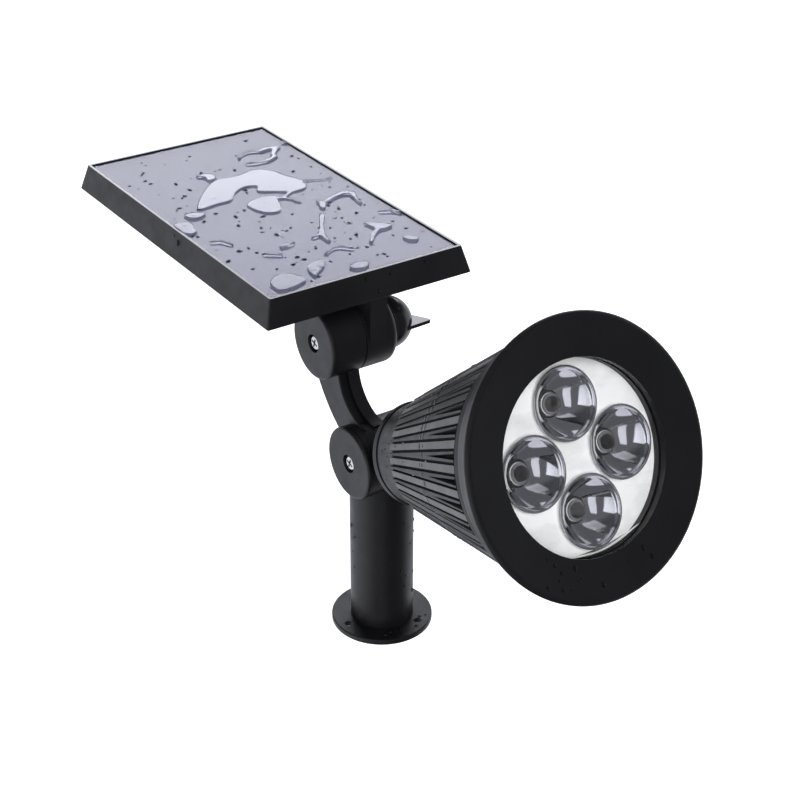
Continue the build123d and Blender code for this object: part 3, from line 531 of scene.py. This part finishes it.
# ---------------------------------------------------------------- reflector with four polished cups
PLATE_FRONT, PLATE_BACK, PLATE_R = 125.3, 124.1, 34.2
MOUTH_AT = 127.5              # where the cups' rims end, in front of the plate
CUP_RING = 18.35              # radius on which the four cups sit
CUP_R, CUP_FLOOR_R, CUP_DEPTH, CUP_WALL = 11.8, 3.8, 9.0, 0.9
CUP_SIDES, CUP_STEPS, RIM_STEPS, FOOT_STEPS = 96, 14, 6, 3


def cup_height(radius, mouth):
    """How far a cup's parabola has risen from its floor at this radius."""
    return CUP_DEPTH * (radius**2 - CUP_FLOOR_R**2) / (mouth**2 - CUP_FLOOR_R**2)


def cup_radius(height, mouth):
    """The parabola's radius at a height over its floor."""
    return sqrt(CUP_FLOOR_R**2 + height / CUP_DEPTH * (mouth**2 - CUP_FLOOR_R**2))


def cup_section():
    """One cup's outline from the plate's face, over the raised rim, down to the floor and back up."""
    outer_mouth = CUP_R + CUP_WALL
    floor_at = MOUTH_AT - CUP_DEPTH
    section = []
    for step in range(FOOT_STEPS + 1):
        along = PLATE_FRONT + (MOUTH_AT - CUP_WALL / 2 - PLATE_FRONT) * step / FOOT_STEPS
        section.append((cup_radius(along - floor_at, outer_mouth), along))
    for step in range(1, RIM_STEPS + 1):
        turn = pi * step / RIM_STEPS
        reach = CUP_R + CUP_WALL / 2 * (1 + cos(turn))
        section.append((reach, MOUTH_AT - CUP_WALL / 2 * (1 - sin(turn))))
    for step in range(1, CUP_STEPS + 1):
        reach = CUP_R + (CUP_FLOOR_R - CUP_R) * step / CUP_STEPS
        section.append((reach, floor_at + cup_height(reach, CUP_R)))
    for step in range(CUP_STEPS + 1):
        along = floor_at + (PLATE_BACK - floor_at) * step / CUP_STEPS
        section.append((CUP_WALL + cup_radius(along - floor_at, outer_mouth - CUP_WALL), along))
    return section


def cup_ring(bm, x, up, reach, along, sides):
    """A ring of vertices round a point of the lamp's cross-section."""
    ring = []
    for side in range(sides):
        angle = 2 * pi * side / sides
        ring.append(bm.verts.new(lamp_point(x + reach * cos(angle), up + reach * sin(angle), along)))
    return ring


def join_rings(bm, first, second, material):
    """Quads between two rings of vertices, in the material slot of this number."""
    for i in range(len(first)):
        j = (i + 1) % len(first)
        face = bm.faces.new((first[i], first[j], second[j], second[i]))
        face.material_index = material


def fill_plate(bm, rings):
    """Fills one face of the plate between its outer ring and the rings of its holes."""
    edges = []
    for ring in rings:
        for i in range(len(ring)):
            pair = (ring[i], ring[(i + 1) % len(ring)])
            edges.append(bm.edges.get(pair) or bm.edges.new(pair))
    bmesh.ops.triangle_fill(bm, use_beauty=True, edges=edges)


def make_reflector():
    """The plate and its four cups as one closed mesh."""
    bm = bmesh.new()
    front = [cup_ring(bm, 0, 0, PLATE_R, PLATE_FRONT, 2 * CUP_SIDES)]
    back = [cup_ring(bm, 0, 0, PLATE_R, PLATE_BACK, 2 * CUP_SIDES)]
    join_rings(bm, back[0], front[0], 0)
    for index in range(4):
        turn = radians(90 + 90 * index)
        x, up = CUP_RING * cos(turn), CUP_RING * sin(turn)
        rings = [cup_ring(bm, x, up, reach, along, CUP_SIDES) for reach, along in cup_section()]
        for first, second in zip(rings, rings[1:]):
            join_rings(bm, first, second, 1)
        front.append(rings[0])
        back.append(rings[-1])
    fill_plate(bm, front)
    fill_plate(bm, back)
    bmesh.ops.recalc_face_normals(bm, faces=bm.faces)
    mesh = bpy.data.meshes.new("reflector_four_cups")
    bm.to_mesh(mesh)
    bm.free()
    piece = show_mesh(mesh, "lamp", "chrome_reflector", 40, plate_white, mirror)
    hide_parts("reflector")


make_reflector()


# ---------------------------------------------------------------- water
WATER_VOXEL = 0.26            # size of the cells the puddles are melted in
HULL_SIDES = 16               # sides of the discs that a stroke's blocks wrap
MELT_STEPS = 12               # how often a puddle's blocks are smoothed
WATER_SINK = 0.04             # water reaches this far into the face it wets, so no air is left between
PUDDLE_H = 0.62               # half height of a puddle's block before it is softened
DROP_AREA_H, DROP_RUN_H = 0.87, 0.92      # the same for the small drops' areas and runs
BEAD_SIDES, BEAD_ROWS = 14, 5
CAMERA_SIDE = -124.0          # heading from the post to the camera, degrees from +X towards +Y
POOL_FROM, POOL_TO, POOL_R = -112, -58, 1.5   # degrees round the opening, and how thick the pool is


def rounded_outline(outline, rounds=2):
    """Cuts an outline's corners again and again until it is smooth."""
    for _ in range(rounds):
        fresh = []
        for i, (x, y) in enumerate(outline):
            after_x, after_y = outline[(i + 1) % len(outline)]
            fresh.append((0.75 * x + 0.25 * after_x, 0.75 * y + 0.25 * after_y))
            fresh.append((0.25 * x + 0.75 * after_x, 0.25 * y + 0.75 * after_y))
        outline = fresh
    return outline


def add_block(bm, outline, half_height):
    """A flat block of an outline's shape that straddles the glass's face."""
    rings = []
    for height in (-half_height, half_height):
        rings.append([bm.verts.new(panel_point(x, back, GLASS_TOP + height)) for x, back in outline])
    low, high = rings
    bm.faces.new(low[::-1])
    bm.faces.new(high)
    for i in range(len(low)):
        j = (i + 1) % len(low)
        bm.faces.new((low[i], low[j], high[j], high[i]))


def add_stroke(bm, points, half_height):
    """Blocks along a run of (across, back, radius) points, each the hull of two discs."""
    for first, second in zip(points, points[1:]):
        around = []
        for x, back, radius in (first, second):
            for step in range(HULL_SIDES):
                angle = 2 * pi * step / HULL_SIDES
                around.append((x + radius * cos(angle), back + radius * sin(angle)))
        outline = [around[i] for i in convex_hull_2d(around)]
        add_block(bm, outline, half_height)


def settle_water(name, bm):
    """Melts the blocks into one rounded body of water and cuts it flat on the glass."""
    mesh = bpy.data.meshes.new(name)
    bm.to_mesh(mesh)
    bm.free()
    helper = bpy.data.objects.new(name + "_blocks", mesh)
    scene.collection.objects.link(helper)
    melt = helper.modifiers.new("melt", "REMESH")
    melt.mode = "VOXEL"
    melt.voxel_size = WATER_VOXEL * MM
    soften = helper.modifiers.new("soften", "SMOOTH")
    soften.factor = 0.6
    soften.iterations = MELT_STEPS
    evaluated = helper.evaluated_get(bpy.context.evaluated_depsgraph_get())
    melted = bpy.data.meshes.new_from_object(evaluated)
    bpy.data.objects.remove(helper)
    bm = bmesh.new()
    bm.from_mesh(melted)
    bpy.data.meshes.remove(melted)
    bpy.data.meshes.remove(mesh)     # frees the name for the piece
    everything = bm.verts[:] + bm.edges[:] + bm.faces[:]
    foot = panel_point(0, 0, GLASS_TOP - WATER_SINK)
    bmesh.ops.bisect_plane(bm, geom=everything, plane_co=foot, plane_no=PANEL_UP, clear_inner=True)
    open_edges = [edge for edge in bm.edges if edge.is_boundary]
    bmesh.ops.edgenet_fill(bm, edges=open_edges)
    bmesh.ops.triangulate(bm, faces=[face for face in bm.faces if len(face.verts) > 4])
    bmesh.ops.recalc_face_normals(bm, faces=bm.faces)
    puddle = bpy.data.meshes.new(name)
    bm.to_mesh(puddle)
    bm.free()
    show_mesh(puddle, "panel", "clear_lens", 60, water)


# Areas are outlines of (across, back) millimetres in the panel's plane; runs add a radius.
BIG_AREAS = [
    [(-15.9, 24.3), (-5.0, 33.7), (3.1, 31.1), (15.5, 34.5), (20.7, 27.7), (22.0, 20.6), (25.5, 13.5),
     (23.4, 4.6), (14.9, 3.6), (11.5, 6.5), (8.0, 9.0), (4.0, 10.9), (3.0, 14.0), (6.5, 17.0),
     (2.0, 19.6), (-4.9, 16.4), (-8.0, 12.0), (-10.6, 9.4), (-18.0, 9.6), (-27.2, 7.5), (-24.0, 14.0)],
    [(-7.5, 4.1), (-1.1, 7.1), (6.4, 7.1), (6.5, -1.1), (0.8, -11.2), (-5.2, -8.8), (-8.0, -2.1)],
]
BIG_RUNS = [
    [(6.0, 4.0, 1.6), (8.6, 1.2, 1.2), (11.2, -1.2, 1.0), (12.4, -5.6, 0.9)],
    [(8.6, 1.2, 1.0), (13.4, 4.2, 1.0), (17.0, 6.0, 1.4)],
    [(22.0, 14.7, 1.2), (27.6, 11.1, 0.7), (32.6, 9.5, 0.6), (37.0, 8.7, 0.6)],
]
SMALL_AREAS = [
    [(-11.6, 39.9), (-6.2, 40.6), (-1.9, 37.0), (-5.6, 31.8), (-9.2, 32.6), (-7.6, 36.6)],
    [(-34.4, 7.6), (-29.2, 7.6), (-24.2, 4.6), (-28.8, 1.0), (-33.4, 2.0)],
    [(-42.1, 1.8), (-36.0, 2.2), (-34.2, -2.4), (-36.4, -6.0), (-36.2, -10.4), (-41.8, -11.0), (-42.4, -4.0)],
    [(17.0, -9.6), (23.2, -11.2), (19.6, -14.4), (17.2, -18.0), (15.6, -15.4), (17.6, -12.8)],
    [(22.1, -36.2), (27.0, -39.2), (32.2, -45.2), (28.2, -47.2), (24.0, -46.6), (22.6, -42.0)],
    [(27.0, -56.6), (31.6, -56.0), (33.8, -61.4), (28.8, -63.0)],
    [(-18.2, -59.4), (-12.4, -56.0), (-8.6, -57.6), (-10.6, -62.2), (-16.2, -66.4), (-20.2, -69.4)],
    [(-4.8, -68.0), (0.8, -65.4), (5.4, -68.4), (1.4, -72.6), (-3.6, -71.6)],
    [(-36.4, -63.0), (-30.5, -59.0), (-25.2, -60.6), (-22.0, -68.8), (-28.4, -71.8), (-37.6, -72.4)],
    [(38.4, -33.0), (40.8, -31.6), (41.4, -38.6), (39.6, -38.0)],
    [(38.9, 54.4), (41.4, 55.8), (41.5, 50.6), (40.4, 51.8)],
]
SMALL_RUNS = [
    [(34.8, 49.6, 1.6), (30.4, 51.2, 1.8), (26.6, 50.0, 1.2), (22.6, 52.6, 0.9), (17.2, 50.2, 0.8),
     (14.8, 47.7, 0.7)],
    [(33.6, 49.0, 1.5), (29.6, 44.4, 1.2), (29.0, 41.4, 1.3), (24.0, 39.0, 1.2), (18.2, 39.1, 0.9),
     (14.8, 40.5, 0.7)],
    [(22.0, -11.2, 1.4), (26.6, -9.0, 1.2), (31.6, -7.8, 1.7), (35.0, -10.0, 1.5), (33.4, -15.2, 0.9),
     (32.4, -20.6, 0.6)],
    [(13.2, -21.8, 1.0), (10.3, -26.1, 1.2), (8.0, -29.4, 0.8), (5.8, -33.4, 1.1), (2.8, -37.6, 1.5),
     (2.0, -44.4, 0.7)],
    [(2.8, -37.6, 1.3), (-1.6, -38.4, 0.8)],
    [(25.0, -45.0, 1.3), (20.4, -48.0, 1.2), (15.2, -54.0, 0.8)],
    [(-5.2, -53.6, 0.7), (-0.6, -50.6, 0.9), (2.2, -50.6, 1.1), (6.0, -55.2, 0.6)],
    [(-16.4, -39.4, 0.9), (-13.6, -38.8, 1.5), (-10.4, -38.6, 0.7)],
    [(-25.4, -41.2, 0.6), (-22.6, -43.2, 1.3), (-20.2, -45.0, 1.0)],
    [(-36.6, -21.0, 0.7), (-33.1, -22.1, 0.9), (-31.2, -27.2, 0.6)],
    [(34.6, -31.6, 0.8), (38.7, -33.6, 1.0)],
]


def make_puddles():
    """The large puddle in the panel's middle and the separate drops round it."""
    bm = bmesh.new()
    for outline in BIG_AREAS:
        add_block(bm, rounded_outline(outline), PUDDLE_H)
    for points in BIG_RUNS:
        add_stroke(bm, points, PUDDLE_H)
    settle_water("water_puddle", bm)
    bm = bmesh.new()
    for outline in SMALL_AREAS:
        add_block(bm, rounded_outline(outline), DROP_AREA_H)
    for points in SMALL_RUNS:
        add_stroke(bm, points, DROP_RUN_H)
    settle_water("water_drops", bm)


make_puddles()


def add_bead(points, faces, place, normal, along, length, width, height):
    """A flattened drop on a face: its place in metres, its sizes in millimetres."""
    normal = normal.normalized()
    along = (along - normal * along.dot(normal)).normalized()
    across = normal.cross(along)
    start = len(points)
    for row in range(BEAD_ROWS):
        turn = pi / 2 * row / BEAD_ROWS
        for side in range(BEAD_SIDES):
            angle = 2 * pi * side / BEAD_SIDES
            flat = along * cos(angle) * length / 2 + across * sin(angle) * width / 2
            points.append(place + (flat * cos(turn) + normal * sin(turn) * height) * MM)
    points.append(place + normal * height * MM)
    top = len(points) - 1
    for row in range(BEAD_ROWS - 1):
        faces += ring_faces(start + row * BEAD_SIDES, start + (row + 1) * BEAD_SIDES, BEAD_SIDES)
    last = start + (BEAD_ROWS - 1) * BEAD_SIDES
    for side in range(BEAD_SIDES):
        faces.append((last + side, last + (side + 1) % BEAD_SIDES, top))
    faces.append(tuple(start + side for side in reversed(range(BEAD_SIDES))))


PANEL_TRIES = 230             # tries to leave a bead on the glass
BEAD_X, BEAD_FRONT, BEAD_BACK = 40, -70, 68      # the field of beads on the glass
# drops on the tray's walls: which wall, across, back and down from the rim's edge, size
WALL_DROPS = (
    ("left", -43.0, -7.0, 4.0, 2.6), ("left", -43.0, -3.5, 2.4, 1.2), ("front", 3.0, -75.5, 8.0, 2.2),
    ("front", -2.0, -75.5, 2.5, 1.8), ("front", 9.0, -75.5, 3.0, 1.4), ("front", 25.0, -75.5, 2.2, 1.6),
)


def bead_share(x, back):
    """The share of tries that leave a bead here: more towards the left and the front."""
    return 0.6 + 0.55 * (40 - x) / 80 * (75 - back) / 140


def make_panel_beads():
    """Fine beads scattered over the glass, and a few drops on the tray's walls."""
    chance = random.Random(12)
    points, faces = [], []
    for _ in range(PANEL_TRIES):
        x = chance.uniform(-BEAD_X, BEAD_X)
        back = chance.uniform(BEAD_FRONT, BEAD_BACK)
        if chance.random() > bead_share(x, back):
            continue
        size = chance.choice((0.6, 0.7, 0.85, 1.0, 1.2, 1.5))
        stretch = chance.uniform(1.0, 1.9)
        way = Vector((chance.uniform(-1, 1), chance.uniform(-1, 1), 0))
        place = panel_point(x, back, GLASS_TOP - WATER_SINK)
        add_bead(points, faces, place, PANEL_UP, way, size * stretch, size, 0.36 * size)
    slope = radians(TRAY_TAPER)
    normals = {
        "left": Vector((-cos(slope), 0, 0)) + PANEL_UP * sin(slope),
        "front": PANEL_UP * sin(slope) - PANEL_BACK * cos(slope),
    }
    for wall, x, back, drop, size in WALL_DROPS:
        normal = normals[wall]
        flare = drop * sin(slope) / cos(slope)
        if wall == "left":
            place = panel_point(x - flare, back, -drop)
        else:
            place = panel_point(x, back - flare, -drop)
        place -= normal * WATER_SINK * MM
        add_bead(points, faces, place, normal, PANEL_UP, size, 0.7 * size, 0.28 * size)
    new_piece("water_beads_panel", points, faces, "panel", "clear_lens", water_painted_dark, sharp=60)


make_panel_beads()


# drops on the post: degrees round it from the camera's side, and how many
POST_DROPS = ((-84, -52, 6), (36, 86, 11))
# drops on the flange: degrees round it, distance from the post's axis, size
FLANGE_DROPS = (
    (-116, 16.4, 3.2), (-72, 17.6, 1.2), (-50, 16.0, 1.4), (-44, 18.2, 1.0), (-97, 15.4, 1.6),
)
RIB_DROPS_AT = (81.6, 84.6)   # two rows of drops that run round the ribs
RIB_DROPS_MISSED = 0.3        # share of the places in those rows that stay dry
CONE_DROPS, RIM_DROPS = 60, 16


def lamp_spot(angle, reach, along):
    """A point on the lamp and the direction away from its axis there."""
    normal = LAMP_UP * sin(angle) + SIDE * cos(angle)
    return lamp_point(reach * cos(angle), reach * sin(angle), along), normal


def make_body_beads():
    """Fine drops on the post, the flange, the ribs, the spotlight's rear cone and its rim."""
    chance = random.Random(5)
    points, faces = [], []
    for low, high, count in POST_DROPS:
        for _ in range(count):
            angle = radians(CAMERA_SIDE + chance.uniform(low, high))
            normal = Vector((cos(angle), sin(angle), 0))
            height = chance.uniform(12, 52)
            size = chance.choice((0.7, 0.9, 1.1, 1.4))
            place = (normal * (POST_R - WATER_SINK) + UP * height) * MM
            add_bead(points, faces, place, normal, UP, size * 1.4, size, 0.4 * size)
    for angle, reach, size in FLANGE_DROPS:
        flat = Vector((cos(radians(angle)), sin(radians(angle)), 0))
        place = (flat * reach + UP * (FLANGE_T - WATER_SINK)) * MM
        add_bead(points, faces, place, UP, SIDE, size * 1.2, size, 0.45 * size)
    new_piece("water_beads_post", points, faces, "base", "clear_lens", water_painted_dark, sharp=60)

    points, faces = [], []
    for unit in range(RIB_UNITS):
        for middle in (0.0, 0.5):
            for along in RIB_DROPS_AT:
                if chance.random() < RIB_DROPS_MISSED:
                    continue
                spot = along + chance.uniform(-0.7, 0.7)
                angle = 2 * pi * (unit + middle) / RIB_UNITS
                reach = cone_floor(spot) + RELIEF - (STRIP_SINK if middle == 0 else 0) - 2 * WATER_SINK
                size = chance.uniform(1.5, 2.5)
                place, normal = lamp_spot(angle, reach, spot)
                add_bead(points, faces, place, normal, LAMP_DIR, size, size * 1.1, 0.16)
    for _ in range(CONE_DROPS):
        spot = chance.choice((chance.uniform(33, 43), chance.uniform(50, 112), chance.uniform(60, 100)))
        angle = chance.uniform(0, 2 * pi)
        reach = cone_floor(spot) + (RELIEF - STRIP_SINK if spot > RIBS_START else 0) - 2 * WATER_SINK
        size = chance.choice((0.6, 0.8, 1.0, 1.2))
        place, normal = lamp_spot(angle, reach, spot)
        add_bead(points, faces, place, normal, LAMP_DIR, size, size, 0.25)
    for _ in range(RIM_DROPS):
        angle = radians(chance.uniform(-150, -60))
        reach = chance.uniform(36, 45)
        size = chance.choice((0.6, 0.8, 1.1, 1.5))
        place, outwards = lamp_spot(angle, reach, RIM_FRONT - (RIM_FACE_R - reach) * RIM_SLOPE)
        normal = (LAMP_DIR - outwards * RIM_SLOPE).normalized()
        place -= normal * WATER_SINK * MM
        add_bead(points, faces, place, normal, LAMP_UP, size * 1.5, size, 0.2 * size)
    new_piece("water_beads_lamp", points, faces, "lamp", "clear_lens", water_painted_dark, sharp=60)


def make_pool():
    """Water held at the bottom of the opening, between the lens and the rim's bore."""
    points, faces = [], []
    sides, steps = 20, 40
    for step in range(steps + 1):
        share = step / steps
        angle = radians(POOL_FROM + (POOL_TO - POOL_FROM) * share)
        thick = 0.05 + POOL_R * sin(pi * share) ** 0.6
        out = SIDE * cos(angle) + LAMP_UP * sin(angle)
        middle = LOWER_PIVOT + (out * (OPENING_R - thick) + LAMP_DIR * (LENS_FRONT + 0.5 * thick)) * MM
        for side in range(sides):
            turn = 2 * pi * side / sides
            points.append(middle + (out * cos(turn) * thick + LAMP_DIR * sin(turn) * 0.6 * thick) * MM)
    for step in range(steps):
        faces += ring_faces(step * sides, (step + 1) * sides, sides)
    faces.append(tuple(range(sides)))
    faces.append(tuple(reversed(range(steps * sides, (steps + 1) * sides))))
    new_piece("water_pool_lens", points, faces, "lamp", "clear_lens", water, sharp=60)


make_body_beads()
make_pool()


# ---------------------------------------------------------------- floor and light
FLOOR_HALF = 4.0
SHADE_R, OPEN_R = 19.4, 20.2  # the paper's glow goes from a painted deep shade to white under the flange's edge, mm


def add_floor():
    """White paper under the object. Only the camera sees it; the studio lights the object from below."""
    mesh = bpy.data.meshes.new("floor")
    half = FLOOR_HALF
    corners = [(-half, -half, 0), (half, -half, 0), (half, half, 0), (-half, half, 0)]
    mesh.from_pydata(corners, [], [(0, 1, 2, 3)])
    floor = bpy.data.objects.new("floor", mesh)
    scene.collection.objects.link(floor)
    material, tree, shader = new_material("floor_paper", (0.9, 0.9, 0.9), 0.9)
    # the paper glows white in the open; under the flange its glow is turned down to a painted deep shade,
    # which shows in its holes
    place = new_node(tree, "ShaderNodeTexCoord").outputs["Object"]
    reach = new_node(tree, "ShaderNodeVectorMath", {0: place}, operation="LENGTH").outputs["Value"]
    glow_with_painted_shade = spread(tree, reach, 0.01, 1.0, SHADE_R * MM, OPEN_R * MM)
    tree.links.new(glow_with_painted_shade, shader.inputs["Emission Strength"])
    shader.inputs["Emission Color"].default_value = (1, 1, 1, 1)
    mesh.materials.append(material)
    floor.visible_diffuse = False
    floor.visible_glossy = False
    floor.visible_transmission = False
    floor.visible_shadow = False


def add_area(name, place, target, size, power):
    """A rectangular lamp that faces a target."""
    data = bpy.data.lights.new(name, "AREA")
    data.shape = "RECTANGLE"
    data.size, data.size_y = size
    data.energy = power
    light = bpy.data.objects.new(name, data)
    scene.collection.objects.link(light)
    light.location = place
    light.rotation_euler = (Vector(target) - Vector(place)).to_track_quat("-Z", "Y").to_euler()
    return light


def add_studio():
    """White sweeps to the left, right and back round a dark front, drawn by heading and height.

    Headings are degrees from +Y towards +X. The camera itself sees plain white everywhere.
    """
    world = bpy.data.worlds.new("studio")
    scene.world = world
    world.use_nodes = True
    tree = world.node_tree
    way = new_node(tree, "ShaderNodeTexCoord").outputs["Generated"]
    x, y, rise_z = new_node(tree, "ShaderNodeSeparateXYZ", {"Vector": way}).outputs

    def reckon(operation, first, second):
        """The result of a math node on two values or sockets."""
        return new_node(tree, "ShaderNodeMath", {0: first, 1: second}, operation=operation).outputs[0]

    def ramp(value, start, end, low=0.0, high=1.0):
        """A soft step from low at the start to high at the end; the start may be the larger."""
        inputs = {"Value": value, "From Min": start, "From Max": end, "To Min": low, "To Max": high}
        made = new_node(tree, "ShaderNodeMapRange", inputs, interpolation_type="SMOOTHSTEP")
        return made.outputs["Result"]

    def band(value, low, high, soft):
        """1 between low and high, with soft edges."""
        return reckon("MULTIPLY", ramp(value, low - soft, low + soft), ramp(value, high + soft, high - soft))

    heading = reckon("ARCTAN2", x, y)

    def heading_band(low, high, soft):
        """A band between two headings in degrees."""
        return band(heading, radians(low), radians(high), radians(soft))

    def zone(strength, *shares):
        """A light of this strength where every share is 1."""
        total = strength
        for share in shares:
            total = reckon("MULTIPLY", share, total)
        return total

    # the two front boxes lean: their headings slide with height
    lean_a = reckon("SUBTRACT", heading, reckon("MULTIPLY", rise_z, radians(14)))
    lean_b = reckon("SUBTRACT", heading, reckon("MULTIPLY", rise_z, radians(16)))
    soft = radians(1.5)
    # the window behind is brighter low down, which makes the panel's far end brighter
    window_fall = ramp(rise_z, 0.34, 0.52, 1.46, 0.76)
    zones = [
        # sweep on the left, just above the floor and below it
        zone(0.95, heading_band(-93, 28, 5), ramp(rise_z, 0.14, 0.02)),
        # two upright boxes in front, which the cups mirror
        zone(1.2, band(lean_a, radians(-115), radians(-95), soft), band(rise_z, -0.52, 0.45, 0.03)),
        zone(0.75, band(lean_b, radians(-146), radians(-128), soft), band(rise_z, -0.55, 0.64, 0.05)),
        # strip overhead
        zone(0.40, ramp(rise_z, 0.88, 0.93), band(y, -0.20, 0.16, 0.04)),
        # sweep on the right
        zone(0.90, heading_band(45, 112, 12), ramp(rise_z, 0.5, 0.1)),
        # window behind, which the panel mirrors
        zone(4.6, heading_band(8, 62, 8), band(rise_z, 0.34, 0.56, 0.04), window_fall),
        # dim room in front
        zone(0.10, ramp(y, 0.05, -0.20), ramp(rise_z, -0.75, -0.5)),
    ]
    total = 0.03              # what every direction gets
    for part in zones:
        total = reckon("ADD", part, total)
    path = new_node(tree, "ShaderNodeLightPath").outputs["Is Camera Ray"]
    background = tree.nodes["Background"]
    white = new_node(tree, "ShaderNodeBackground", {"Color": (1, 1, 1, 1), "Strength": 1.0})
    background.inputs["Color"].default_value = (0.965, 0.98, 1.06, 1)
    tree.links.new(total, background.inputs["Strength"])
    mix = new_node(tree, "ShaderNodeMixShader", {0: path})
    tree.links.new(background.outputs[0], mix.inputs[1])
    tree.links.new(white.outputs[0], mix.inputs[2])
    tree.links.new(mix.outputs[0], tree.nodes["World Output"].inputs["Surface"])


add_floor()
add_studio()
# the front key fills the white reflector without leaving highlights on the black plastic
front_key = add_area("front_key", (-0.25, -1.1, 0.75), (0, -0.12, 0.13), (0.9, 0.9), 16.5)
front_key.visible_glossy = False
front_key.visible_transmission = False
